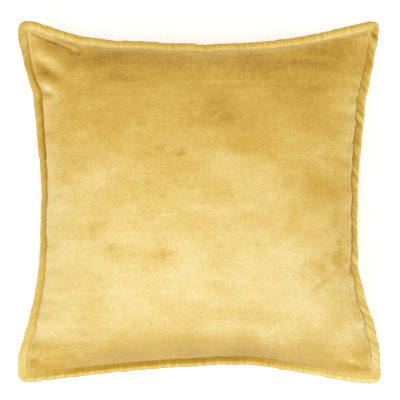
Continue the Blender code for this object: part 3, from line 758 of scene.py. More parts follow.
@dataclass(frozen=True)
class Narrow:
    """A stretch of the left or right flange that curls up more steeply."""

    right: bool
    place: float
    reach: float
    less: float

    def take(self, across: Array, share: Array) -> Array:
        """Return how much narrower the flange looks: a bell along the side."""
        return np.where((across > 0.0) == self.right, self.less * bell(share, self.place, self.reach), 0.0)


@dataclass(frozen=True)
class Crease:
    """A dent along a short line on the front, seen from above."""

    start: tuple[float, float]
    stop: tuple[float, float]
    depth: float
    width: float

    def press(self, x: Array, y: Array) -> Array:
        """Return how deep the dent is.

        A bell of the distance to its line, which wanders a little, shallower
        towards both ends by a sine.
        """
        x = x + 0.4 * self.width * clouds(x, y, 4.0 * self.width, 51, 2)
        y = y + 0.4 * self.width * clouds(x, y, 4.0 * self.width, 53, 2)
        run = np.array(self.stop) - np.array(self.start)
        share = ((x - self.start[0]) * run[0] + (y - self.start[1]) * run[1]) / float(run @ run)
        share = np.clip(share, 0.0, 1.0)
        away = np.hypot(x - self.start[0] - share * run[0], y - self.start[1] - share * run[1])
        ends = 0.08 + 0.92 * np.sin(math.pi * np.clip(share, 0.02, 0.98))
        return self.depth * bell(away, 0.0, self.width) * ends


@dataclass(frozen=True)
class NapMark:
    """A place where a finger has brushed the pile the other way."""

    x: float
    y: float
    wide: float
    tall: float
    shade: float
    turn: float = 0.0

    def stroke(self, x: Array, y: Array) -> Array:
        """Return the mark's shade: an oval bell broken up by blotches."""
        c, s = math.cos(self.turn), math.sin(self.turn)
        a = ((x - self.x) * c + (y - self.y) * s) / self.wide
        b = ((y - self.y) * c - (x - self.x) * s) / self.tall
        bent = 0.6 * clouds(x, y, 0.010, 73, 3)
        rough = 0.40 + 0.70 * clouds(x, y, 0.0075, 71, 4)
        oval = np.exp(-((a + bent) ** 2 + (b - bent) ** 2) * 0.55)
        return 0.52 * self.shade * oval * np.clip(rough, 0.0, 1.3)


@dataclass(frozen=True)
class ToneRegion:
    """A wide soft region painted lighter or darker."""

    x: float
    y: float
    wide: float
    tall: float
    shade: float

    def tint(self, x: Array, y: Array) -> Array:
        """Return the region's shade: a flat-topped oval that fades out."""
        away = ((x - self.x) / self.wide) ** 2 + ((y - self.y) / self.tall) ** 2
        return self.shade * np.exp(-(away**1.5))


class Face(Enum):
    """The two faces of the pillow."""

    FRONT = 1.0
    BACK = -1.0


@dataclass
class Shape:
    """The one family of surfaces that every cloth layer follows.

    The zip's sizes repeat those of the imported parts, so that the back panels
    meet the zip where it is.
    """

    half: float = 0.2440
    flange: float = 0.0122
    seam_height: float = 0.0700
    front_crown: float = 0.0950
    back_crown: float = 0.0850
    corner_empty: float = 0.35
    velvet: float = 0.0012
    flange_layer: float = 0.0024
    seam_gap: float = 0.0003
    spread_power: float = 2.2
    bulge: float = 0.0024
    bulge_place: float = 0.085
    narrows: tuple[Narrow, ...] = (
        Narrow(False, 0.80, 0.10, 0.0042),
        Narrow(False, -0.15, 0.30, 0.0026),
        Narrow(False, -0.64, 0.15, 0.0016),
        Narrow(True, 0.84, 0.10, 0.0024),
        Narrow(True, -0.17, 0.26, 0.0022),
    )
    sway: float = 0.0016
    curl_side: float = 0.42
    curl_end: float = 0.22
    zip_y: float = -0.1745
    zip_radius: float = 1.012475
    zip_height: float = 0.022972
    zip_tilt: float = 0.446829
    tape_reach: float = 0.1750
    slot_half: float = 0.0044
    slot_closed: float = 0.00035
    slot_full_to: float = 0.1700
    slot_closed_at: float = 0.1790
    ribbon_flat: float = 0.0132
    fade_above: float = 0.0420
    fade_below: float = 0.0190
    fade_aside: float = 0.0360
    floor_blend: float = 0.0018
    left: Side = Side(0.0311, -0.08, 0.784, 0.995, 2.47, 2.71, (
        Kink(0.60, 0.0020, 0.045),
        Kink(0.34, -0.0014, 0.09),
        Kink(0.05, 0.0012, 0.09),
    ))
    right: Side = Side(0.0323, -0.171, 0.634, 1.178, 2.12, 2.20, (
        Kink(-0.37, 0.0020, 0.050),
        Kink(0.55, 0.0018, 0.05),
        Kink(-0.66, -0.0018, 0.04),
        Kink(-0.79, 0.0020, 0.06),
    ))
    top: Side = Side(0.0310, 0.118, 1.049, 0.849, 3.79, 2.06, (
        Kink(0.03, 0.0018, 0.06),
        Kink(-0.32, -0.0016, 0.10),
        Kink(-0.66, 0.0014, 0.04),
    ))
    bottom: Side = Side(0.0253, 0.263, 1.262, 0.635, 1.84, 1.30, (Kink(0.10, 0.0010, 0.03),))

    # --- outline
    def flange_reach(self, share: Array, curl: float) -> Array:
        """Return the flange's width in plan: it curls up between corners."""
        lean = curl * 1.3 * np.cos(HALF_PI * np.clip(share, -1, 1)) ** 1.5
        return self.flange * np.cos(lean)

    def side_reach(self, across: Array, along: Array) -> Array:
        """Return the left or right flange's width in plan."""
        less = sum(part.take(across, along) for part in self.narrows)
        return self.flange_reach(along, self.curl_side) - less

    def half_across(self, across: Array, along: Array) -> Array:
        """Return the stitch line's distance from the middle, left or right."""
        draw = np.where(across < 0.0, self.left.draw(along), self.right.draw(along))
        return self.half - draw - self.side_reach(across, along)

    def half_along(self, across: Array, along: Array) -> Array:
        """Return the stitch line's distance from the middle, up or down."""
        draw = np.where(along < 0.0, self.bottom.draw(across), self.top.draw(across))
        return self.half - draw - self.flange_reach(across, self.curl_end)

    def shares(self, p: Array, q: Array) -> tuple[Array, Array]:
        """Return the shares of the half sizes at two cloth coordinates.

        Each is the sine of a quarter turn times the coordinate at the middle
        of the other one, where the dome's walls are steep, and the plain
        coordinate at the sides, where they are flat.
        """
        blend_p, blend_q = (np.abs(c) ** self.spread_power for c in (p, q))
        across = (1.0 - blend_q) * np.sin(HALF_PI * p) + blend_q * p
        along = (1.0 - blend_p) * np.sin(HALF_PI * q) + blend_p * q
        return across, along

    def fullness(self, across: Array, along: Array) -> Array:
        """Return the height as a share of the crown.

        The square root of (1 - across²)(1 - along²), emptier at the corners.
        """
        dome = np.sqrt(np.clip((1.0 - across**2) * (1.0 - along**2), 0.0, 1.0))
        return dome * (1.0 - self.corner_empty * across**2 * along**2)

    def plan(self, p: Array, q: Array) -> tuple[Array, Array]:
        """Return X and Y of the stitched body, with its walls bulged out."""
        across, along = self.shares(p, q)
        x = across * self.half_across(across, along)
        y = along * self.half_along(across, along)
        for_x = bell(1.0 - np.abs(p), self.bulge_place, 0.6 * self.bulge_place)
        for_y = bell(1.0 - np.abs(q), self.bulge_place, 0.6 * self.bulge_place)
        end_x, end_y = np.abs(p) >= 1.0, np.abs(q) >= 1.0
        wide = np.sign(p) * self.bulge * for_x * (1.0 - np.abs(along) ** 4)
        tall = np.sign(q) * 0.5 * self.bulge * for_y * (1.0 - np.abs(across) ** 4)
        return x + np.where(end_x | end_y, 0.0, wide), y + np.where(end_x | end_y, 0.0, tall)

    def seam_lift(self, x: Array, y: Array) -> Array:
        """Return how far the stitch line strays up or down."""
        turn = np.arctan2(y, x) / (2.0 * math.pi)
        source = 0.55 * np.sin(2.0 * math.pi * (4.0 * turn + 0.15))
        source = source + 0.45 * np.sin(2.0 * math.pi * (9.0 * turn + 0.6))
        return self.sway * (source + 0.35 * np.sin(2.0 * math.pi * (23.0 * turn + 0.3)))

    # --- zip
    def zip_points(self, along: Array, over: Array, out: Array) -> Array:
        """Return points of the zip: a cone's arc with its centre far above.

        along is the distance along the zip, over the distance across it
        and out the height away from the pillow.
        """
        sine, cosine = math.sin(self.zip_tilt), math.cos(self.zip_tilt)
        angle = np.arcsin(along / self.zip_radius)
        radius = self.zip_radius + over * sine + out * cosine
        y = self.zip_y + over * cosine - out * sine
        z = self.zip_height + self.zip_radius - radius * np.cos(angle)
        return np.stack(np.broadcast_arrays(radius * np.sin(angle), y, z), axis=-1)

    def ribbon(self, x: Array, y: Array) -> Array:
        """Return how closely the back follows the zip's arc, 0 to 1."""
        over = (y - self.zip_y) / math.cos(self.zip_tilt)
        above = 1.0 - ease(over, self.ribbon_flat, self.ribbon_flat + self.fade_above)
        below = 1.0 - ease(-over, self.ribbon_flat, self.ribbon_flat + self.fade_below)
        aside = 1.0 - ease(np.abs(x), self.tape_reach, self.tape_reach + self.fade_aside)
        return np.where(over > 0.0, above, below) * aside

    def slot(self, x: Array) -> Array:
        """Return half the gap between the back panels, across the zip."""
        share = ease(np.abs(x), self.slot_full_to, self.slot_closed_at)
        return self.slot_half + (self.slot_closed - self.slot_half) * share

    def flange_face(self, share: Array) -> Array:
        """Return the height of a flange face over its middle plane.

        share runs from the stitch line, 0, to the outer edge, 1: pressed in
        by the stitches, puffed, a dip beside the turned edge, and a rounded
        quarter ellipse at the edge.
        """
        pressed = 0.0012 * bell(share, 0.0, 0.12) + 0.0008 * bell(share, 0.56, 0.10)
        rim = np.sqrt(np.clip(1.0 - np.clip((share - 0.76) / 0.24, 0.0, 1.0) ** 2, 0.0, 1.0))
        return 0.5 * self.seam_gap + (self.flange_layer + 0.0004 - pressed) * rim

    def base(self, face: Face, p: Array, q: Array) -> Array:
        """Return the outer surface of the body before it swells.

        The front is the stitch line's height plus the crown's rise times the
        fullness. The back is the same dome turned down, no lower than the
        floor, blended into the zip's arc near the zip.
        """
        across, along = self.shares(p, q)
        x, y = self.plan(p, q)
        full = self.fullness(across, along)
        foot = float(self.flange_face(np.array(0.0)))
        lift = self.seam_lift(x, y) * (1.0 - full) ** 4
        if face is Face.FRONT:
            z = self.seam_height + foot + (self.front_crown - foot) * full + lift
        else:
            share = self.ribbon(x, y)
            dome = self.seam_height - foot - (self.back_crown - foot) * full + lift
            dome = 0.5 * (dome + np.sqrt(dome**2 + self.floor_blend**2))
            sine, cosine = math.sin(self.zip_tilt), math.cos(self.zip_tilt)
            radius = self.zip_radius + (y - self.zip_y) * sine / cosine
            arc = self.zip_height + self.zip_radius - np.sqrt(radius**2 - np.clip(x, -0.3, 0.3) ** 2)
            z = np.maximum(dome * (1.0 - share) + arc * share, 0.0)
        return np.stack([x, y, z], axis=-1)

    def coordinate_at(self, p: Array, y: Array) -> Array:
        """Return the cloth coordinate q at which a column reaches Y.

        The error in Y is divided by its slope and taken off, eight times.
        """
        q = np.full_like(p, -0.7)
        for _ in range(8):
            here = self.plan(p, q)[1]
            slope = (self.plan(p, q + 1e-4)[1] - here) / 1e-4
            q = np.clip(q - (here - y) / slope, -0.995, 0.0)
        return q


@dataclass
class Swell:
    """Blender's Cloth, run on one whole face of the cover.

    The face starts as the plain dome. Its springs remember the flat square
    that was cut, so it swells and gathers against its stitched edge, which
    is held still.
    """

    shape: Shape
    face: Face
    lines: int = 101
    cut_half: float = 0.2346
    pressure: float = 4.0
    frames: int = 24
    cap: float = 0.012
    moved: Array = field(default_factory=lambda: np.zeros((4, 4, 3)))

    def run(self) -> None:
        """Simulate the face and keep how far each point moved."""
        line = np.linspace(-1.0, 1.0, self.lines)
        p, q = np.meshgrid(line, line)
        start = self.shape.base(self.face, p, q)
        quads = grid_quads(self.lines, self.lines)
        mesh = bpy.data.meshes.new("cloth_run")
        order = quads if self.face is Face.FRONT else quads[:, ::-1]
        mesh.from_pydata(start.reshape(-1, 3).tolist(), [], order.tolist())
        item = bpy.data.objects.new("cloth_run", mesh)
        bpy.context.scene.collection.objects.link(item)
        item.shape_key_add(name="Basis")
        cut = item.shape_key_add(name="cut")
        flat = np.stack([p * self.cut_half, q * self.cut_half, np.zeros_like(p)], axis=-1)
        cut.data.foreach_set("co", flat.ravel())
        held = item.vertex_groups.new(name="held")
        still = (np.abs(p) > 0.999) | (np.abs(q) > 0.999)
        if self.face is Face.BACK:
            x, y = self.shape.plan(p, q)
            still |= (self.shape.ribbon(x, y) > 0.25) | (start[..., 2] < 0.004)
        held.add(np.flatnonzero(still.ravel()).tolist(), 1.0, "REPLACE")
        cloth = item.modifiers.new("swell", "CLOTH")
        made = cloth.settings
        made.quality = 7
        made.mass = 0.3
        made.tension_stiffness = made.compression_stiffness = 20.0
        made.shear_stiffness = 6.0
        made.bending_stiffness = 0.25
        made.use_pressure = True
        made.uniform_pressure_force = self.pressure
        made.vertex_group_mass = "held"
        made.effector_weights.gravity = 0.0
        made.rest_shape_key = cut
        cloth.collision_settings.use_collision = False
        cloth.point_cache.frame_start, cloth.point_cache.frame_end = 1, self.frames
        scene = bpy.context.scene
        for frame in range(1, self.frames + 1):
            scene.frame_set(frame)
        result = item.evaluated_get(bpy.context.evaluated_depsgraph_get())
        found = np.zeros(self.lines * self.lines * 3)
        result.data.vertices.foreach_get("co", found)
        bpy.data.objects.remove(item, do_unlink=True)
        bpy.data.meshes.remove(mesh)
        scene.frame_set(1)
        moved = found.reshape(start.shape) - start
        far = np.linalg.norm(moved, axis=-1, keepdims=True)
        log.info("%s cloth moved %.1f mm at most", self.face.name, 1000.0 * far.max())
        self.moved = moved * np.minimum(1.0, self.cap / np.maximum(far, 1e-9))

    def at(self, p: Array, q: Array) -> Array:
        """Return the movement at any cloth coordinates.

        It is read from the sixteen nearest points with Catmull-Rom weights.
        """
        count = self.moved.shape[0]
        column, row = (np.clip((c + 1.0) * 0.5 * (count - 1), 0.0, count - 1.0) for c in (p, q))
        c0 = np.clip(np.floor(column).astype(int), 0, count - 2)
        r0 = np.clip(np.floor(row).astype(int), 0, count - 2)
        total = np.zeros((*np.broadcast(p, q).shape, 3))
        for i, across in enumerate(self.weights(column - c0)):
            for j, along in enumerate(self.weights(row - r0)):
                c = np.clip(c0 + i - 1, 0, count - 1)
                r = np.clip(r0 + j - 1, 0, count - 1)
                total += self.moved[r, c] * (across * along)[..., None]
        return total

    @staticmethod
    def weights(t: Array) -> list[Array]:
        """Return the four Catmull-Rom weights at a place between points."""
        return [
            0.5 * (-t + 2.0 * t**2 - t**3),
            0.5 * (2.0 - 5.0 * t**2 + 3.0 * t**3),
            0.5 * (t + 4.0 * t**2 - 3.0 * t**3),
            0.5 * (t**3 - t**2),
        ]


# --- the cover
@dataclass
class Cover:
    """The velvet cover: front panel, two back panels, flange and stitching."""

    shape: Shape
    front_swell: Swell
    back_swell: Swell
    body_lines: int = 241
    flange_shares: tuple[float, ...] = (0.05, 0.15, 0.30, 0.46, 0.62, 0.78, 0.92, 1.0)
    corner_round: tuple[float, float, float, float] = (0.95, 0.72, 0.86, 0.80)
    gather: float = 0.0013
    pleat: float = 0.00045
    wave: float = 0.0011
    edge_wander: float = 0.0004
    fold_roll: float = 0.0011
    stitch_pitch: float = 0.0032
    seam_pitch: float = 0.0026
    seam_inset: float = 0.0004
    seam_proud: float = 0.0007
    half_body: float = 0.215
    # Strength of the painted shade along the body's lower edge.
    bottom_shade: float = 0.32
    creases: tuple[Crease, ...] = (
        Crease((-0.224, 0.196), (-0.182, 0.161), 0.005, 0.01),
        Crease((-0.224, 0.227), (-0.164, 0.203), 0.0023, 0.0024),
        Crease((-0.178, 0.206), (-0.154, 0.199), 0.0022, 0.005),
        Crease((-0.218, 0.152), (-0.196, 0.143), 0.003, 0.0055),
        Crease((0.188, -0.212), (0.22, -0.223), 0.0016, 0.006),
        Crease((0.21, -0.09), (0.19, -0.08), 0.0012, 0.008),
        Crease((-0.228, -0.21), (-0.21, -0.212), 0.001, 0.0024),
        Crease((-0.226, -0.218), (-0.206, -0.213), 0.001, 0.0024),
        Crease((-0.22, -0.224), (-0.2, -0.214), 0.001, 0.0024),
        Crease((-0.025, 0.156), (0.175, 0.153), 0.0003, 0.0022),
        Crease((-0.145, -0.045), (-0.07, -0.06), 0.0012, 0.015),
        Crease((-0.05, 0.07), (-0.005, 0.015), 0.001, 0.012),
        Crease((0.06, 0.196), (0.15, 0.19), 0.0012, 0.008),
        Crease((-0.17, -0.212), (-0.145, -0.2), 0.0008, 0.0022),
        Crease((-0.15, -0.214), (-0.13, -0.205), 0.0007, 0.002),
        Crease((0.085, -0.18), (0.115, -0.192), 0.0008, 0.0028),
        Crease((-0.215, -0.06), (-0.19, -0.05), 0.0016, 0.009),
        Crease((0.208, 0.055), (0.185, 0.05), 0.0018, 0.008),
    )
    # Painted light and shade up the pillow, as (Y, tone) pairs: dark on the lower and upper walls, lightest
    # over the lower middle.
    painted_light_rise: tuple[tuple[float, float], ...] = (
        (-0.214, 0.30), (-0.204, 0.32), (-0.190, 0.45), (-0.178, 0.61),
        (-0.160, 0.69), (-0.130, 0.72), (-0.066, 0.73), (-0.030, 0.70),
        (0.036, 0.62), (0.070, 0.55), (0.096, 0.50), (0.150, 0.44),
        (0.188, 0.33), (0.199, 0.38), (0.206, 0.45), (0.230, 0.46),
    )
    # Soft regions painted lighter or darker; those beside the upper left creases paint light and shade round
    # the folds.
    regions: tuple[ToneRegion, ...] = (
        ToneRegion(-0.225, 0.140, 0.046, 0.055, 0.19),
        ToneRegion(-0.215, 0.060, 0.040, 0.060, 0.05),
        ToneRegion(-0.198, 0.206, 0.030, 0.016, -0.12),
        ToneRegion(-0.196, 0.190, 0.018, 0.008, 0.05),
        ToneRegion(-0.157, 0.163, 0.016, 0.012, 0.12),
        ToneRegion(-0.205, 0.171, 0.016, 0.012, -0.08),
        ToneRegion(-0.224, 0.190, 0.014, 0.028, 0.08),
        ToneRegion(0.045, 0.203, 0.040, 0.008, 0.10),
        ToneRegion(0.060, -0.192, 0.040, 0.018, -0.13),
        ToneRegion(0.215, 0.150, 0.045, 0.070, 0.18),
        ToneRegion(0.150, 0.020, 0.060, 0.050, -0.11),
        ToneRegion(0.069, 0.072, 0.030, 0.020, -0.10),
        ToneRegion(0.185, 0.206, 0.050, 0.012, -0.12),
        ToneRegion(0.215, -0.090, 0.048, 0.070, -0.14),
        ToneRegion(0.215, -0.215, 0.060, 0.045, 0.22),
        ToneRegion(-0.220, -0.205, 0.060, 0.045, 0.20),
        ToneRegion(0.175, -0.165, 0.060, 0.030, 0.05),
        ToneRegion(0.130, 0.165, 0.090, 0.035, -0.04),
    )
    marks: tuple[NapMark, ...] = (
        # Painted shade in the tuck at the end of the upper left crease.
        NapMark(-0.164, 0.2045, 0.0075, 0.0034, -0.75, -0.5),
        NapMark(-0.138, -0.035, 0.011, 0.006, -0.55, 0.5),
        NapMark(-0.114, -0.058, 0.006, 0.006, -0.5),
        NapMark(-0.042, -0.069, 0.009, 0.005, -0.34, -0.4),
        NapMark(-0.053, 0.072, 0.011, 0.006, -0.34, -0.5),
        NapMark(-0.022, 0.059, 0.009, 0.006, -0.4, -0.6),
        NapMark(-0.015, 0.031, 0.006, 0.011, -0.26, 0.3),
        NapMark(0.019, 0.113, 0.02, 0.011, -0.34),
        NapMark(-0.102, 0.161, 0.016, 0.005, -0.36, -0.2),
        NapMark(0.073, -0.058, 0.007, 0.005, -0.24, -0.5),
        NapMark(0.162, -0.111, 0.014, 0.017, -0.34),
        NapMark(0.184, -0.062, 0.008, 0.03, -0.32),
        NapMark(-0.178, 0.028, 0.009, 0.007, -0.34),
        NapMark(-0.179, 0.007, 0.008, 0.004, -0.28),
        NapMark(0.175, 0.04, 0.012, 0.03, -0.16),
        NapMark(0.156, -0.084, 0.022, 0.006, -0.22, 0.2),
        NapMark(0.095, -0.183, 0.016, 0.007, 0.4, -0.7),
        NapMark(-0.156, -0.205, 0.018, 0.008, 0.3, 0.5),
    )

    # --- surfaces
    def gathers(self, x: Array, y: Array, p: Array, q: Array, seed: int) -> Array:
        """Return the small puckers that run in from the stitch line.

        Uneven waves along each side, fading with the distance from the seam
        and coming to nothing on the stitches themselves.
        """
        reach = self.shape.half
        total = np.zeros_like(x)
        sides = ((x, 1.0 - q, 0.45), (x, 1.0 + q, 0.30), (y, 1.0 - p, 1.15), (y, 1.0 + p, 0.60))
        for number, (place, away, full) in enumerate(sides):
            share = full * (1.0 - ease(np.abs(place), 0.165, 0.205))
            far = away * reach
            patch = 0.55 + 0.6 * ripples(place, 0.150, 0.040, seed + 40 + number)
            fine = ripples(place, 0.016, 0.0055, seed + number)
            broad = ripples(place, 0.060, 0.018, seed + 20 + number)
            rise = 1.0 - np.exp(-far / 0.0015)
            near = share * np.clip(patch, 0.0, 1.3) * fine * np.exp(-far / 0.010)
            total += rise * (near + 0.9 * full * broad * np.exp(-far / 0.028))
        return self.gather * total

    def pressed(self, x: Array, y: Array) -> Array:
        """Return how deep all the creases of the front are at each point."""
        return sum(crease.press(x, y) for crease in self.creases)

    def body(self, face: Face, p: Array, q: Array) -> Array:
        """Return the finished outer surface of the stitched body."""
        swell = self.front_swell if face is Face.FRONT else self.back_swell
        points = self.shape.base(face, p, q) + swell.at(p, q)
        normals = grid_normals(points) * face.value
        x, y = points[..., 0], points[..., 1]
        height = self.gathers(x, y, p, q, 3 if face is Face.FRONT else 11)
        full = self.shape.fullness(*self.shape.shares(p, q))
        height = height + 0.00045 * clouds(x, y, 0.030, 5, 2) * full
        if face is Face.FRONT:
            height = height - self.pressed(x, y)
        else:
            height = height * (1.0 - self.shape.ribbon(x, y)) * ease(points[..., 2], 0.001, 0.012)
        height = height * ease(1.0 - np.maximum(np.abs(p), np.abs(q)), 0.0, 0.010)
        points = points + normals * height[..., None]
        points[..., 2] = np.maximum(points[..., 2], 0.0)
        return points

    def pleats(self, place: Array, seed: int) -> Array:
        """Return the cross pleats of the flange: short waves and sharp tucks."""
        fine = ripples(place, 0.014, 0.0045, seed)
        tucks = np.clip(ripples(place, 0.055, 0.016, seed + 5) - 0.95, 0.0, None)
        return self.pleat * (0.75 * fine - 4.0 * tucks)

    def flange_line(self, count: int, before: bool, after: bool) -> Array:
        """Return a row's shares of the flange, 0 on the body, minus before it."""
        shares = np.array(self.flange_shares)
        return np.concatenate([-shares[::-1]] * before + [np.zeros(count)] + [shares] * after)

    def flange_pads(self, sides: Sides) -> list[tuple[int, int]]:
        """Return how many lines the flange adds to the rows and columns."""
        count = len(self.flange_shares)
        left, right, bottom, top = sides
        return [(count * bottom, count * top), (count * left, count * right)]

    def curl(self, reach: Array, part: Array) -> Array:
        """Return how high a flange that looks this wide rises, by Pythagoras."""
        wide = self.shape.flange
        looks = np.where(part != 0.0, reach, wide)
        return np.sqrt(np.clip(wide**2 - looks**2, 0.0, None)) * np.abs(part)

    def with_flange(self, face: Face, body: Array, sides: Sides) -> Array:
        """Carry a body grid on past its stitch line to the flange's edge.

        Args:
            face: which face of the pillow the grid is on.
            body: the body's outer surface, rows up the pillow.
            sides: whether the flange is added at left, right, bottom, top.

        Returns:
            The grid with eight more lines on each of those sides. A line's
            place is the stitch line plus a share of the flange's width, its
            height the flange face plus the curl and the pleats. A corner is
            the square of both shares, rounded by drawing its tip in.
        """
        shape, front = self.shape, face is Face.FRONT
        rows, columns = body.shape[:2]
        grid = np.pad(body, [*self.flange_pads(sides), (0, 0)], mode="edge")
        left, right, bottom, top = sides
        fx, fy = np.meshgrid(self.flange_line(columns, left, right), self.flange_line(rows, bottom, top))
        x, y, z = grid[..., 0], grid[..., 1], grid[..., 2]
        inner = shape.half - shape.flange
        reach_x = shape.side_reach(x, y / inner)
        reach_y = shape.flange_reach(x / inner, shape.curl_end)
        top_left, top_right, low_left, low_right = self.corner_round
        high_blunt = np.where(fx < 0.0, top_left, top_right)
        low_blunt = np.where(fx < 0.0, low_left, low_right)
        blunt = np.where(fy > 0.0, high_blunt, low_blunt)
        round_x = np.sqrt(1.0 - 0.5 * blunt * fy**2)
        round_y = np.sqrt(1.0 - 0.5 * blunt * fx**2)
        share = np.maximum(np.abs(fx), np.abs(fy))
        curl = self.curl(reach_x, fx)
        curl = curl + self.curl(reach_y, fy)
        plane = z - face.value * float(shape.flange_face(np.array(0.0)))
        side_pleats = self.pleats(y, 31 if front else 47) * np.abs(fx) ** 0.5
        end_pleats = self.pleats(x, 33 if front else 49) * np.abs(fy) ** 0.5
        wave = self.wave * ripples(y, 0.120, 0.030, 61) * np.abs(fx)
        wave = wave + self.wave * ripples(x, 0.120, 0.030, 63) * np.abs(fy)
        corner = (np.abs(fx) > 0.0) & (np.abs(fy) > 0.0)
        puffed = np.clip(4.0 * share * (1.15 - share), 0.0, 1.0)
        thick = shape.flange_face(share) + np.where(corner, 0.0, side_pleats + end_pleats) * puffed
        stray_x = np.sign(fx) * self.edge_wander * ripples(y, 0.040, 0.010, 67) * np.abs(fx)
        stray_y = np.sign(fy) * self.edge_wander * ripples(x, 0.040, 0.010, 69) * np.abs(fy)
        across = x + fx * reach_x * round_x + np.where(corner, 0.0, stray_x)
        along = y + fy * reach_y * round_y + np.where(corner, 0.0, stray_y)
        height = np.where(share > 0.0, plane + curl + wave + face.value * thick, z)
        return np.stack([across, along, height], axis=-1)

    def mid_plane(self, face: Face, outer: Array, shares: Array) -> Array:
        """Return the panel's inner face.

        On the body it lies a cloth's thickness under the outer face. On the
        flange it lies on the middle plane between the two panels.
        """
        normals = grid_normals(outer) * face.value
        inner = outer - normals * self.shape.velvet
        thick = self.shape.flange_face(shares) - 0.5 * self.shape.seam_gap
        flat = outer.copy()
        flat[..., 2] = outer[..., 2] - face.value * thick
        share = ease(shares, 0.0, 0.30)[..., None]
        return inner * (1.0 - share) + flat * share

    def pile_and_shade(self, face: Face, outer: Array, plain: Array, edge: Array, shares: Array) -> Array:
        """Return the pile's tone with its painted light and shade, 0 to 1.

        A slow painted change of light and shade up the pillow plus soft regions
        painted lighter or darker at its sides, blotches, streaks across and the
        finger marks. Painted shade makes walls of folds that face up the pillow
        darker than those that face down it. Along the stitch line painted shade
        darkens the upper halves of the left and right sides and painted light
        brightens the rest.

        Args:
            face: which face of the pillow the grid is on.
            outer: the finished outer surface.
            plain: the same surface before it swelled and creased.
            edge: each point's distance from the stitch line, seen from above.
            shares: each point's share of the flange, 0 on the body.

        Returns:
            The pile's tone with its painted light and shade at each point.
        """
        x, y = outer[..., 0], outer[..., 1]
        # Painted light and shade up the pillow.
        drift = y + 0.010 * clouds(x, y, 0.070, 81, 2)
        total = np.interp(drift, *zip(*self.painted_light_rise, strict=True))
        # Soft regions painted lighter or darker.
        for region in self.regions:
            total += region.tint(x, y)
        total += 0.075 * clouds(x, y, 0.042, 83, 4) + 0.045 * clouds(x * 0.35, y, 0.014, 85, 3)
        total += 0.030 * clouds(x * 0.12, y, 0.0045, 87, 2)
        worms = 1.0 - 3.2 * np.abs(clouds(x, y, 0.0110, 89, 2))
        total -= 0.07 * np.clip(worms, 0.0, 1.0) * ease(y, 0.120, 0.190) * ease(x, -0.100, 0.080)
        if face is Face.FRONT:
            for mark in self.marks:
                total += mark.stroke(x, y)
        # Painted shade and light by the lean of the folds: faces turned up the pillow darker, faces turned
        # down it lighter.
        lean = grid_normals(outer) - grid_normals(plain)
        total += np.clip(-0.55 * lean[..., 1] - 0.20 * lean[..., 0], -0.28, 0.24)
        upper, lower, right, left = self.sectors(x, y)
        high = ease(y, -0.02, 0.07)
        # Painted shade and light in the groove at the stitch line, and a painted light strip just inside it.
        seam_shade = left * (0.26 * high - 0.12) + right * (0.14 * high - 0.14) - 0.20 * lower - 0.34 * upper
        total -= seam_shade * bell(edge, 0.0, 0.0010)
        total += (0.20 * left + 0.16 * right + 0.10 * lower) * bell(edge, 0.0026, 0.0015)
        # Painted light on the upper side just inside the stitch line.
        total += upper * 0.24 * (1.0 - ease(edge, 0.0010, 0.0028))
        # Painted shade: no lighter than 0.70 at the stitch line, rising to 1 a little inside it.
        total = np.minimum(total, 0.70 + 0.30 * ease(edge, 0.0026, 0.0080))
        # Painted shade and light on the flange by the lean of its pleats.
        side = np.clip(-0.30 * lean[..., 1] - 0.10 * lean[..., 0], -0.12, 0.12)
        hem = self.flange_shade(x, y, shares) + side + 0.05 * clouds(x, y, 0.020, 95, 3)
        return np.clip(np.where(shares > 0.0, hem, total), 0.02, 1.0)

    @staticmethod
    def sectors(x: Array, y: Array) -> tuple[Array, Array, Array, Array]:
        """Return how far each place belongs to the top, bottom, right, left."""
        upper = ease(y - np.abs(x), -0.012, 0.012)
        lower = ease(-y - np.abs(x), -0.012, 0.012)
        rest = 1.0 - upper - lower
        return upper, lower, rest * (x > 0.0), rest * (x < 0.0)

    def flange_shade(self, x: Array, y: Array, shares: Array) -> Array:
        """Return the flange's tone: painted light and shade.

        The upper flange is painted lighter towards the body. The lower one has
        a painted highlight on a ridge beside its edge and, along its left two
        thirds, a painted shadow band under the body. The others are painted
        darker towards the body in their upper halves.
        """
        upper, lower, right, left = self.sectors(x, y)
        slant = ripples(y + 0.012 * shares, 0.045, 0.010, 23)
        short = ripples(x + 0.001 * shares, 0.016, 0.0045, 25)
        inward = 1.0 - shares
        total = upper * (0.42 + 0.32 * ease(inward, 0.15, 0.70) + 0.06 * short)
        # Painted shadow band under the body along the lower flange.
        deep = 0.20 + 0.80 * (1.0 - ease(x, 0.045, 0.110)) * ease(x, -0.230, -0.150)
        shade = 0.21 * deep * ease(inward, 0.30, 0.46) + 0.03 * bell(shares, 0.0, 0.12)
        # Painted highlight on the ridge beside the lower flange's edge.
        ridge = 0.34 * bell(shares, 0.76, 0.14) * (1.0 + 0.3 * short)
        total += lower * (0.48 - shade + ridge + 0.14 * ease(x, 0.10, 0.16) + 0.025 * short)
        high = ease(y, -0.02, 0.07)
        steep = (1.0 - ease(y, 0.165, 0.190)) * high
        total += right * (0.63 - 0.21 * high * ease(inward, 0.05, 0.50) + 0.17 * slant)
        total += left * (0.66 - 0.12 * high - 0.24 * steep * ease(inward, 0.25, 0.90) + 0.05 * slant)
        # Painted light along the stitch line.
        crease = 0.26 * upper + 0.16 * lower + 0.18 * right * (1.0 - 0.6 * high) + 0.12 * left * (1.0 - high)
        total += crease * bell(shares, 0.0, 0.16)
        total += 0.12 * bell(np.hypot(x - 0.235, y + 0.235), 0.0, 0.055)
        return total + 0.08 * bell(np.hypot(x + 0.235, y + 0.235), 0.0, 0.050)

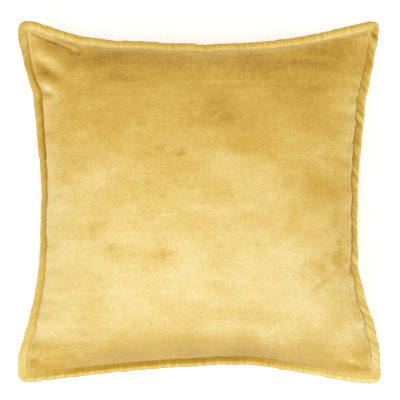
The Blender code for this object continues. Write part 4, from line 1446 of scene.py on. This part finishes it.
    def cloth_panel(
        self, name: str, face: Face, grid: tuple[Array, Array], body: Array, sides: Sides
    ) -> Thing:
        """Make one panel and the values that its velvet reads.

        Args:
            name: the piece's name.
            face: which face of the pillow it is on.
            grid: the cloth coordinates p and q of its body.
            body: its body's finished outer surface.
            sides: whether it has the flange at left, right, bottom, top.

        Returns:
            The panel, without its finish.
        """
        outer = self.with_flange(face, body, sides)
        plain = self.with_flange(face, self.shape.base(face, *grid), sides)
        left, right, bottom, top = sides
        rows, columns = body.shape[:2]
        up_share = np.abs(self.flange_line(rows, bottom, top))
        shares = np.maximum(up_share[:, None], np.abs(self.flange_line(columns, left, right))[None, :])
        inner = self.mid_plane(face, outer, shares)
        across, along = self.shape.shares(*grid)
        edge = self.half_body * (1.0 - np.maximum(np.abs(across), np.abs(along)))
        edge = np.pad(edge, self.flange_pads(sides), mode="edge")
        pile_and_shade = self.pile_and_shade(face, outer, plain, edge, shares)
        piece = panel_piece(name, outer, inner[::4, ::4])
        # Painted shade along the lower edge of the body.
        bottom_shade = self.bottom_shade * ease(-outer[..., 1], 0.160, 0.190)
        bottom_shade = bottom_shade * ease(0.205 - np.abs(outer[..., 0]), 0.0, 0.060) * (shares <= 0.0)
        for word, value in (("pile_and_shade", pile_and_shade), ("hem", ease(shares, -0.02, 0.10)), ("bottom_shade", bottom_shade)):
            layer = piece.data.attributes.new(word, "FLOAT", "POINT")
            layer.data.foreach_set("value", np.concatenate([value.ravel(), value[::4, ::4].ravel()]))
        return piece

    def front_panel(self, finish: Material) -> Thing:
        """Build the front panel."""
        line = np.linspace(-1.0, 1.0, self.body_lines)
        grid = np.meshgrid(line, line)
        piece = self.cloth_panel("velvet_front", Face.FRONT, grid, self.body(Face.FRONT, *grid), ALL_SIDES)
        dress(piece, "front_cover", "pillow", finish)
        return piece

    def back_panel(self, name: str, upper: bool, finish: Material) -> Thing:
        """Build one back panel, folded under along the zip.

        Its rows run from the fold to the flange. The first rows lie closer
        together and roll over the fold on a quarter circle of the panel's
        folded thickness.
        """
        shape = self.shape
        p = np.linspace(-1.0, 1.0, self.body_lines)
        side = 1.0 if upper else -1.0
        q = shape.coordinate_at(p, np.full_like(p, shape.zip_y))
        for _ in range(3):
            x = shape.plan(p, q)[0]
            target = shape.zip_y + side * shape.slot(x) * math.cos(shape.zip_tilt)
            q = shape.coordinate_at(p, target)
        count = 217 if upper else 45
        step = np.linspace(0.0, 1.0, count)
        step = (0.10 * step + 0.90 * step**1.25) if upper else (0.35 * step + 0.65 * step**1.6)
        rows = q[None, :] + (side - q[None, :]) * step[:, None]
        columns = np.broadcast_to(p, rows.shape)
        body = self.body(Face.BACK, columns, rows)
        over = np.abs(body[..., 1] - body[:1, :, 1]) / math.cos(shape.zip_tilt)
        roll = self.fold_roll
        inward = roll - np.sqrt(np.clip(roll**2 - np.clip(roll - over, 0.0, None) ** 2, 0.0, None))
        body = body + grid_normals(body) * inward[..., None]
        if not upper:
            body, columns, rows = body[::-1], columns[::-1], rows[::-1]
        sides = (True, True, not upper, upper)
        piece = self.cloth_panel(name, Face.BACK, (columns, rows), body, sides)
        dress(piece, "back_cover_upper" if upper else "back_cover_lower", "pillow", finish)
        return piece

    # --- stitching
    def ring(self, face: Face, share: float) -> tuple[Array, Array]:
        """Return a closed line round the flange and the way up from it."""
        line = np.linspace(-1.0, 1.0, self.body_lines)
        outer = self.with_flange(face, self.body(face, *np.meshgrid(line, line)), ALL_SIDES)
        shares = np.array([0.0, *self.flange_shares])
        at = int(np.argmin(np.abs(shares - share)))
        cut = len(self.flange_shares) - at
        grid = outer[cut : len(outer) - cut, cut : len(outer) - cut] if cut else outer
        loop = border(*grid.shape[:2])
        up = np.zeros((len(loop), 3))
        up[:, 2] = face.value
        return grid.reshape(-1, 3)[loop], up

    def sewing(self, finish: Material) -> list[Thing]:
        """Build the flange's two rows of stitching and its edge seam."""
        made = []
        for face, word in ((Face.FRONT, "front"), (Face.BACK, "back")):
            names = (f"topstitch_{word}", f"flange_topstitch_{word}")
            made.append(stitch_row(*names, self.ring(face, 0.05), self.stitch_pitch, True, finish))
        front, up = self.ring(Face.FRONT, 1.0)
        back, _ = self.ring(Face.BACK, 1.0)
        edge = 0.5 * (front + back)
        edge = edge - unit(edge * np.array([1.0, 1.0, 0.0])) * self.seam_inset
        names = ("edge_stitches", "edge_seam_thread")
        made.append(stitch_row(*names, (edge, up), self.seam_pitch, True, finish))
        return made

    def back_seams(self, finish: Material) -> list[Thing]:
        """Build the two short seams that join the back panels."""
        shape, made = self.shape, []
        for word, side in (("left", -1.0), ("right", 1.0)):
            p = side * np.linspace(0.80, 0.9985, 60)
            q = shape.coordinate_at(p, np.full_like(p, shape.zip_y))
            points = shape.base(Face.BACK, p, q) + self.back_swell.at(p, q)
            points = points[np.abs(points[:, 0]) > shape.slot_closed_at + 0.001]
            points[:, 2] += self.seam_proud
            up = np.zeros_like(points)
            up[:, 1], up[:, 2] = -math.sin(shape.zip_tilt), -math.cos(shape.zip_tilt)
            names = (f"back_seam_{word}", f"back_seam_thread_{word}")
            made.append(stitch_row(*names, (points, up), self.seam_pitch, False, finish))
        return made


# --- the zip
@dataclass
class ZipAssembly:
    """The hidden zip: tapes, coils, stops, stitching, slider and pull tab."""

    shape: Shape
    tape_top: float = -0.0030
    tape_thick: float = 0.0005
    tape_inner: float = 0.0009
    tape_outer: float = 0.0115
    coil_inner: float = 0.0008
    coil_wide: float = 0.0019
    coil_bottom: float = -0.0027
    coil_tall: float = 0.0014
    coil_pitch: float = 0.00135
    coil_radius: float = 0.00027
    chain_reach: float = 0.1600
    stop_length: float = 0.0030
    bottom_stop_tall: float = 0.0013
    sewn_inset: float = 0.0039
    sewn_reach: float = 0.1610
    sewn_pitch: float = 0.0030
    slider_run: float = 0.1500
    slider_length: float = 0.0090
    slider_half: float = 0.0037
    plate_bottom: float = -0.0010
    plate_top: float = -0.0001
    wall: float = 0.0007
    keel_top: float = -0.0038
    keel_thick: float = 0.0008
    arch_span: float = 0.0032
    arch_post: float = 0.0008
    arch_wide: float = 0.0012
    arch_bar: float = 0.0006
    gap: float = 0.0003
    pin_radius: float = 0.00045
    tab_length: float = 0.0175
    tab_wide: float = 0.0052
    tab_grip: float = 0.0010
    arm: float = 0.0008

    def tape(self, name: str, side: float) -> Thing:
        """Build a tape: a thin ribbon along the zip with a corded outer edge."""
        along = np.linspace(-self.shape.tape_reach, self.shape.tape_reach, 161)[:, None]
        share = np.linspace(0.0, 1.0, 9)
        over = side * (self.tape_inner + (self.tape_outer - self.tape_inner) * share)[None, :]
        cord = 0.00012 * bell(share, 0.93, 0.05) + 0.00006 * np.cos(26.0 * share)
        top = self.shape.zip_points(along, over, self.tape_top - 0.0001 + cord[None, :] * 0.8)
        low = self.shape.zip_points(along, over, self.tape_top - self.tape_thick)
        return mesh_piece(name, *loft_arrays(np.concatenate([top, low[:, ::-1]], axis=1), False))

    def coil(self, name: str, side: float) -> Thing:
        """Build a row of coil: a helix flattened on the tape.

        One turn is twelve steps of the angle; across it moves with the cosine,
        out of the cloth with the sine, and along by the pitch per turn.
        """
        turns = int((2.0 * self.chain_reach - 0.001) / self.coil_pitch)
        angle = np.linspace(0.0, 2.0 * math.pi * turns, 12 * turns + 1)
        reach = 0.5 * self.coil_pitch * turns
        along = -reach + self.coil_pitch * angle / (2.0 * math.pi) + 0.5 * self.coil_pitch * (side < 0.0)
        along = np.clip(along, -self.chain_reach + self.gap, self.chain_reach - self.gap)
        half_over = 0.5 * self.coil_wide - self.coil_radius
        half_out = 0.5 * self.coil_tall - self.coil_radius
        over = side * (self.coil_inner + 0.5 * self.coil_wide - half_over * np.cos(angle))
        out = self.coil_bottom + 0.5 * self.coil_tall + half_out * np.sin(angle)
        path = self.shape.zip_points(along, over, out)
        return mesh_piece(name, *tube_arrays(path, ALONG_X, self.coil_radius, 6, False))

    def pillowed_bar(self, ends: tuple[float, float], edges: tuple[float, float], tall: float) -> Arrays:
        """Return a small bar along the zip, rounded on every edge.

        Each ring is a superellipse in the zip's cross-section; rings shrink
        towards both ends as the quarter ellipse does.

        Args:
            ends: where it starts and stops along the zip.
            edges: where it starts and stops across the zip.
            tall: its height over the tapes.

        Returns:
            The bar's points, quads and triangles.
        """
        first, last = ends
        low, high = edges
        bottom = self.tape_top + self.gap
        top = bottom + tall
        steps = np.linspace(-1.0, 1.0, 9)
        shrink = (1.0 - np.abs(steps) ** 4) ** 0.25
        shrink[[0, -1]] = 0.55
        along = 0.5 * (first + last) + 0.5 * (last - first) * steps
        round_x, round_y = squircle(16, 0.6)
        over = 0.5 * (low + high) + 0.5 * (high - low) * shrink[:, None] * round_x[None, :]
        out = 0.5 * (bottom + top) + 0.5 * (top - bottom) * shrink[:, None] * round_y[None, :]
        return loft_arrays(self.shape.zip_points(along[:, None], over, out), False)

    def chain(self, tape: Material, coil: Material, metal: Material, thread: Material) -> list[Thing]:
        """Build tapes, coils, stops and the two rows of stitching."""
        made = []
        start = self.chain_reach + self.gap
        stop = start + self.stop_length
        wide = self.coil_inner + self.coil_wide
        for word, side in (("upper", 1.0), ("lower", -1.0)):
            piece = dress(self.tape(f"tape_{word}", side), f"zip_tape_{word}", "pillow", tape)
            made.append(piece)
            made.append(dress(self.coil(f"coil_{word}", side), f"zip_coil_{word}", "pillow", coil))
            edges = tuple(sorted((side * self.coil_inner, side * wide)))
            bar = self.pillowed_bar((start, stop), edges, self.coil_tall)
            piece = mesh_piece(f"top_stop_{word}", *bar)
            made.append(dress(piece, f"zip_top_stop_{word}", "pillow", metal))
            along = np.linspace(-self.sewn_reach, self.sewn_reach, 241)
            over = np.full_like(along, side * (self.shape.slot_half + self.sewn_inset))
            path = self.shape.zip_points(along, over, np.full_like(along, 0.0004))
            up = unit(self.shape.zip_points(along, over, np.full_like(along, 0.0104)) - path)
            names = (f"zip_stitches_{word}", f"zip_stitch_{word}")
            made.append(stitch_row(*names, (path, up), self.sewn_pitch, False, thread))
        bar = self.pillowed_bar((-stop, -start), (-wide, wide), self.bottom_stop_tall)
        made.append(dress(mesh_piece("bottom_stop", *bar), "zip_bottom_stop", "pillow", metal))
        return made

    # --- slider
    def slider_frame(self) -> Matrix:
        """Return the turn and place of the slider at the zip's closed end."""
        shape = self.shape
        angle = math.asin(self.slider_run / shape.zip_radius)
        sine, cosine = math.sin(shape.zip_tilt), math.cos(shape.zip_tilt)
        along = Vector((-math.cos(angle), 0.0, -math.sin(angle)))
        fall = Vector((math.sin(angle), 0.0, -math.cos(angle)))
        over = Vector((0.0, cosine, 0.0)) + fall * sine
        out = Vector((0.0, -sine, 0.0)) + fall * cosine
        turn = Matrix((along, over, out)).transposed().to_4x4()
        place = shape.zip_points(np.array(self.slider_run), np.array(0.0), np.array(0.0))
        return Matrix.Translation(Vector(place.tolist())) @ turn

    @staticmethod
    def placed(arrays: Arrays, frame: Matrix) -> Arrays:
        """Return arrays with their points moved by a frame."""
        turn = np.array(frame)
        return arrays[0] @ turn[:3, :3].T + turn[:3, 3], arrays[1], arrays[2]

    @staticmethod
    def slab(outline: Array, bottom: float, top: float, bevel: float) -> Arrays:
        """Return a flat plate with rounded edges over a closed outline.

        Six rings climb from the bottom to the top; the outer two at each
        face are drawn in along a quarter circle of the bevel.
        """
        turn = np.linspace(0.0, HALF_PI, 4)
        rise = bevel * (1.0 - np.cos(turn))
        lift = np.concatenate([bottom + rise, top - rise[::-1]])
        inset = np.concatenate([bevel * (1.0 - np.sin(turn)), bevel * (1.0 - np.sin(turn[::-1]))])
        flat = outline[None] + inward_normals(outline)[None] * inset[:, None, None]
        height = np.broadcast_to(lift[:, None, None], (*flat.shape[:2], 1))
        return loft_arrays(np.concatenate([flat, height], axis=-1), False)

    def slider(self, finish: Material) -> Thing:
        """Build the slider: plate, side walls, neck, keel and arch."""
        half, wide = 0.5 * self.slider_length, self.slider_half
        round_x, round_y = squircle(40, 0.42)
        taper = 0.90 + 0.10 * ease(round_x, -0.9, 0.5)
        plate = np.stack([half * round_x, wide * round_y * taper], axis=-1)
        keel = np.stack([(half - self.wall) * round_x, (wide - self.wall) * round_y * taper], axis=-1)
        neck = np.stack([0.0022 * round_x, 0.00045 * round_y], axis=-1)
        parts = [self.slab(plate, self.plate_bottom, self.plate_top, 0.00030)]
        parts.append(self.slab(keel, self.keel_top - self.keel_thick, self.keel_top, 0.00028))
        parts.append(self.slab(neck, self.keel_top - 0.0001, self.plate_bottom + 0.0001, 0.00008))
        for side in (-1.0, 1.0):
            middle = side * (wide - 0.5 * self.wall - 0.0002)
            wall = np.stack([0.84 * half * round_x, middle + 0.5 * self.wall * round_y * 0.9], axis=-1)
            parts.append(self.slab(wall, self.coil_bottom + 0.00002, self.plate_bottom + 0.0002, 0.00012))
        axis = self.plate_top + self.gap + self.pin_radius
        rise = axis + self.pin_radius + self.gap + self.arch_bar - self.plate_top
        reach = 0.5 * self.arch_span + self.arch_post
        sweep = np.linspace(0.0, math.pi, 25)
        bend_x = -np.sign(np.cos(sweep)) * np.abs(np.cos(sweep)) ** 0.45
        bend_z = np.sin(sweep) ** 0.45
        foot = self.plate_top - 0.0001
        inside, under = reach - self.arch_post, rise - self.arch_bar + 0.0001
        rings = []
        for edge in (-0.5, 0.5):
            over = np.full_like(sweep, edge * self.arch_wide * 0.96)
            outer = np.stack([reach * bend_x, over, foot + rise * bend_z], axis=-1)
            inner = np.stack([inside * bend_x, over, foot + under * bend_z], axis=-1)
            rings.append((outer, inner))
        ring = np.stack([rings[0][0], rings[1][0], rings[1][1], rings[0][1]], axis=1)
        parts.append(loft_arrays(ring, False))
        piece = mesh_piece("slider", *self.placed(joined_arrays(parts), self.slider_frame()))
        return dress(piece, "zip_slider", "slider", finish)

    def pull_tab(self, finish: Material) -> Thing:
        """Build the tab: a pin under the arch, two arms and a pierced grip."""
        axis = self.plate_top + self.gap + self.pin_radius
        reach_x = 0.5 * self.arch_span + self.arch_post
        reach_z = self.pin_radius + self.gap + self.arch_bar
        clear = math.hypot(reach_x + 0.0001, reach_z) + self.gap
        inner = 0.5 * self.arch_wide + self.gap
        outer = inner + self.arm
        low, high = clear + self.arm, self.tab_length
        shank = np.linspace(0.0, clear + 0.0012, 8)
        parts = []
        for side in (-1.0, 1.0):
            path = np.stack([np.zeros(8), np.full(8, side * 0.5 * (inner + outer)), shank], axis=-1)
            parts.append(tube_arrays(path, ALONG_X, 0.5 * self.arm, 10, False))
        pin = np.stack([np.zeros(6), np.linspace(-outer + 0.0002, outer - 0.0002, 6), np.zeros(6)], axis=-1)
        parts.append(tube_arrays(pin, ALONG_X, self.pin_radius * 0.98, 12, False))
        turn = np.linspace(0.0, 2.0 * math.pi, 48, endpoint=False)
        round_y, round_z = squircle(48, 0.55)
        middle = 0.5 * (low + high)
        taper = 0.78 + 0.22 * ease(round_z, -1.0, 0.6)
        half_wide, half_tall = 0.5 * self.tab_wide, 0.5 * (high - low)
        edge = np.stack([half_wide * round_y * taper, middle + half_tall * round_z], axis=-1)
        hole = np.stack([0.0011 * np.cos(turn), high - 0.0030 + 0.0011 * np.sin(turn)], axis=-1)
        bevel, sunk = 0.0003, 0.00022
        thick = 0.5 * self.tab_grip
        face = [
            (edge, 0.0, thick - bevel),
            (edge, bevel, thick),
            (edge, 0.0009, thick),
            (edge, 0.0011, thick - sunk),
            (hole, -0.0006, thick - sunk),
            (hole, -0.0004, thick),
            (hole, -0.0001, thick),
            (hole, 0.0, thick - bevel),
        ]
        rings = []
        for line, inset, height in face + [(line, inset, -height) for line, inset, height in reversed(face)]:
            flat = line + inward_normals(line) * inset
            rings.append(np.stack([np.full(len(flat), height), flat[:, 0], flat[:, 1]], axis=-1))
        parts.append(loft_arrays(np.roll(np.stack(rings), 1, axis=0), True))
        bar = np.linspace(-outer + 0.0001, outer - 0.0001, 24)
        cross = np.stack([np.zeros(24), bar, np.full(24, clear + 0.0010)], axis=-1)
        parts.append(tube_arrays(cross, ALONG_X, 0.5 * self.arm, 10, False))
        climb = math.tan(math.asin(self.slider_run / self.shape.zip_radius))
        hang = math.atan(climb / math.cos(self.shape.zip_tilt))
        frame = self.slider_frame() @ Matrix.Translation((0.0, 0.0, axis)) @ Matrix.Rotation(hang, 4, "Y")
        piece = mesh_piece("pull_tab", *self.placed(joined_arrays(parts), frame))
        return dress(piece, "zip_pull_tab", "pull_tab", finish)


# --- insert
@dataclass
class Insert:
    """The pad inside the cover: a cotton casing round loose fibre."""

    cover: Cover
    lines: int = 97
    casing_inset: float = 0.0030
    casing_depth: float = 0.00155
    casing_cloth: float = 0.0006
    fill_inset: float = 0.00395
    fill_depth: float = 0.0025
    zip_dent: float = 0.0042
    dent_half: float = 0.0160
    dent_fade: float = 0.0140
    crease_room: float = 0.0024
    wall_room: float = 0.0016
    room: float = 0.0004
    half_body: float = 0.205

    def layer(self, face: Face, inset: float, depth: float) -> Array:
        """Return the cover's surface shrunk about its middle.

        X and Y shrink by the inset, and the height over the stitch line by
        the depth. Under the zip it is pressed in by a bell across the zip.
        """
        shape = self.cover.shape
        line = np.linspace(-1.0, 1.0, self.lines)
        p, q = np.meshgrid(line, line)
        swell = self.cover.front_swell if face is Face.FRONT else self.cover.back_swell
        points = shape.base(face, p, q) + swell.at(p, q)
        crown = shape.front_crown if face is Face.FRONT else shape.seam_height
        foot = float(shape.flange_face(np.array(0.0)))
        lift = shape.seam_lift(points[..., 0], points[..., 1])
        ring = (np.abs(p) >= 1.0) | (np.abs(q) >= 1.0)
        rise = (points[..., 2] - shape.seam_height) * (1.0 - depth / crown)
        if face is Face.BACK:
            over = (points[..., 1] - shape.zip_y) / math.cos(shape.zip_tilt)
            fade = bell(np.clip(np.abs(over) - self.dent_half, 0.0, None), 0.0, self.dent_fade)
            fade = fade * (1.0 - ease(np.abs(points[..., 0]), 0.186, 0.214))
            rise = rise + self.zip_dent * fade
        else:
            pressed = self.cover.pressed(points[..., 0], points[..., 1])
            rise = rise - pressed - self.crease_room * (1.0 - np.exp(-pressed / 0.0006))
        away = (1.0 - np.maximum(np.abs(p), np.abs(q))) * shape.half
        rise = rise - face.value * self.wall_room * np.exp(-away / 0.020) - face.value * self.room
        rise = np.where(ring, lift, np.where(face.value * rise < 0.2 * foot, lift, rise))
        points[..., :2] *= 1.0 - inset / self.half_body
        points[..., 2] = shape.seam_height + rise
        return points

    def casing(self, face: Face, node: str, finish: Material) -> Thing:
        """Build one half of the cotton casing."""
        outer = self.layer(face, self.casing_inset, self.casing_depth)
        cloth = self.casing_cloth
        inner = self.layer(face, self.casing_inset + cloth, self.casing_depth + cloth)
        outer[..., 2] += face.value * 0.00015
        inner[..., 2] += face.value * 0.00015
        piece = panel_piece(f"{node}_cotton", outer, inner[::4, ::4])
        dress(piece, node, "pillow", finish)
        return piece

    def filling(self, finish: Material) -> Thing:
        """Build the loose fibre as one plump closed pad with soft lumps."""
        front = self.layer(Face.FRONT, self.fill_inset, self.fill_depth)
        back = self.layer(Face.BACK, self.fill_inset, self.fill_depth)
        for grid, side in ((front, -1.0), (back, 1.0)):
            lumps = 0.5 + 0.5 * clouds(grid[..., 0], grid[..., 1], 0.026, 91, 3)
            edge = ease(np.abs(grid[..., 2] - 0.070), 0.004, 0.030)
            grid[..., 2] += side * 0.0022 * np.clip(lumps, 0.0, 1.0) * edge
        piece = pouch_piece("insert_fibre", front, back)
        dress(piece, "insert_filling", "pillow", finish)
        return piece

    def seam(self, finish: Material) -> Thing:
        """Build the casing's overlocked seam as a row of stitches."""
        grid = self.layer(Face.FRONT, self.casing_inset - 0.0006, self.casing_depth)
        path = grid.reshape(-1, 3)[border(*grid.shape[:2])]
        up = np.zeros_like(path)
        up[:, 2] = 1.0
        return stitch_row("insert_stitches", "insert_seam_thread", (path, up), 0.0030, True, finish)


@dataclass
class CareLabel:
    """The blank label sewn in under the zip's lower tape."""

    shape: Shape
    x: float = -0.0900
    wide: float = 0.0250
    reach: float = 0.0160
    sewn_under: float = 0.0060
    cloth: float = 0.0004
    tape_half: float = 0.0115

    def surface(self, x: Array, y: Array, depth: Array) -> Array:
        """Return the back's layer at a depth under given places."""
        shape = self.shape
        p = x / 0.23
        q = np.full_like(x, -0.8)
        for _ in range(12):
            here_x, here_y = shape.plan(p, q)
            p = p - (here_x - x) / 0.25
            q = np.clip(q - (here_y - y) / 0.20, -0.99, 0.0)
        points = shape.base(Face.BACK, p, q)
        points[..., 0], points[..., 1] = x, y
        points[..., 2] += depth / math.cos(shape.zip_tilt)
        return points

    def build(self, finish: Material) -> Thing:
        """Build the label: a strip that lies loose beyond its sewn end."""
        sewn, loose = 0.00385, 0.0020
        bend, stop = self.tape_half + 0.0010, self.tape_half + self.reach
        share = np.linspace(0.0, 1.0, 21)
        held = np.linspace(self.tape_half - self.sewn_under, bend, 8)[:-1]
        over = np.concatenate([held, bend + (stop - bend) * share])
        fall = np.concatenate([np.zeros(7), share])
        across = self.x + np.linspace(0.0, self.wide, 25)
        x = np.broadcast_to(across[None, :], (len(over), 25))
        y = np.broadcast_to((self.shape.zip_y - over * math.cos(self.shape.zip_tilt))[:, None], x.shape)
        curl = 0.00012 * np.sin((x - self.x) / self.wide * 9.0) * fall[:, None]
        depth = sewn + (loose - sewn) * fall[:, None] + curl
        low = self.surface(x, y, depth)
        high = self.surface(x, y, depth + self.cloth)
        rings = np.concatenate([low, high[:, ::-1]], axis=1)
        piece = mesh_piece("blank_label", *loft_arrays(rings, False))
        dress(piece, "care_label", "pillow", finish)
        return piece


# --- studio
@dataclass
class Studio:
    """White paper floor, soft lights and the camera over the pillow."""

    eye_height: float = 2.07
    frame_width: float = 0.5385
    plane: float = 0.0700
    aim_x: float = 0.00080
    aim_y: float = 0.00260
    sky: float = 0.70

    def floor(self) -> None:
        """Lay the paper floor just under the pillow."""
        line = np.linspace(-4.0, 4.0, 9)
        x, y = np.meshgrid(line, line)
        points = np.stack([x, y, np.full_like(x, -0.0002)], axis=-1).reshape(-1, 3)
        mesh = bpy.data.meshes.new("paper_floor")
        mesh.from_pydata(points.tolist(), [], grid_quads(9, 9).tolist())
        item = bpy.data.objects.new("paper_floor", mesh)
        bpy.context.scene.collection.objects.link(item)
        mesh.materials.append(PaperFloor().material())

    def lamp(self, name: str, place: tuple[float, float, float], size: float, power: float) -> None:
        """Hang a square soft box that faces the pillow."""
        data = bpy.data.lights.new(name, "AREA")
        data.shape = "SQUARE"
        data.size = size
        data.energy = power
        item = bpy.data.objects.new(name, data)
        item.location = place
        aim = Vector((0.0, 0.0, 0.08)) - Vector(place)
        item.rotation_euler = aim.to_track_quat("-Z", "Y").to_euler()
        bpy.context.scene.collection.objects.link(item)

    def build(self) -> None:
        """Set the sky, the lamps and the camera."""
        scene = bpy.context.scene
        world = bpy.data.worlds.new("soft_sky")
        world.use_nodes = True
        backdrop = world.node_tree.nodes["Background"].inputs
        backdrop["Color"].default_value = (1.0, 1.0, 1.0, 1.0)
        backdrop["Strength"].default_value = self.sky
        scene.world = world
        scene.view_settings.view_transform = "Standard"
        self.floor()
        self.lamp("key_box", (-0.45, -0.7, 2.4), 1.2, 20.0)
        self.lamp("fill_box", (0.8, 0.4, 2.4), 1.6, 6.0)
        data = bpy.data.cameras.new("camera")
        reach = self.eye_height - self.plane
        data.sensor_width = 36.0
        data.lens = 36.0 * reach / self.frame_width
        data.clip_start = 0.05
        data.clip_end = 50.0
        item = bpy.data.objects.new("camera", data)
        item.location = (self.aim_x, self.aim_y, self.eye_height)
        scene.collection.objects.link(item)
        scene.camera = item


def main() -> None:
    """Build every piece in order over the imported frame."""
    logging.basicConfig(level=logging.INFO, format="%(message)s")
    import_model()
    Studio().build()
    shape = Shape()
    swells = (Swell(shape, Face.FRONT), Swell(shape, Face.BACK))
    for swell in swells:
        swell.run()
    velvet = Velvet().material()
    gold_thread = SewingThread("gold_thread", level(228, 190, 92)).material()
    white_thread = SewingThread("white_thread", level(236, 234, 226)).material()
    tape = WovenCloth("zip_tape", level(206, 162, 72), level(150, 108, 36), 0.0008).material()
    cotton = WovenCloth("casing_cotton", level(240, 239, 234), level(206, 204, 196), 0.0006).material()
    brass = AgedBrass().material()
    cover = Cover(shape, *swells)
    pieces = [cover.front_panel(velvet)]
    pieces.append(cover.back_panel("velvet_back_upper", True, velvet))
    pieces.append(cover.back_panel("velvet_back_lower", False, velvet))
    pieces += cover.sewing(gold_thread) + cover.back_seams(gold_thread)
    zipper = ZipAssembly(shape)
    pieces += zipper.chain(tape, CoilNylon().material(), brass, gold_thread)
    pieces += [zipper.slider(brass), zipper.pull_tab(brass)]
    insert = Insert(cover)
    pieces.append(insert.filling(Fibrefill().material()))
    pieces.append(insert.casing(Face.FRONT, "insert_casing_front", cotton))
    pieces.append(insert.casing(Face.BACK, "insert_casing_back", cotton))
    pieces.append(insert.seam(white_thread))
    pieces.append(CareLabel(shape).build(LabelSatin().material()))
    for piece in pieces:
        log.info("%s: %d faces", piece.name, len(piece.data.polygons))


if __name__ == "__main__":
    main()
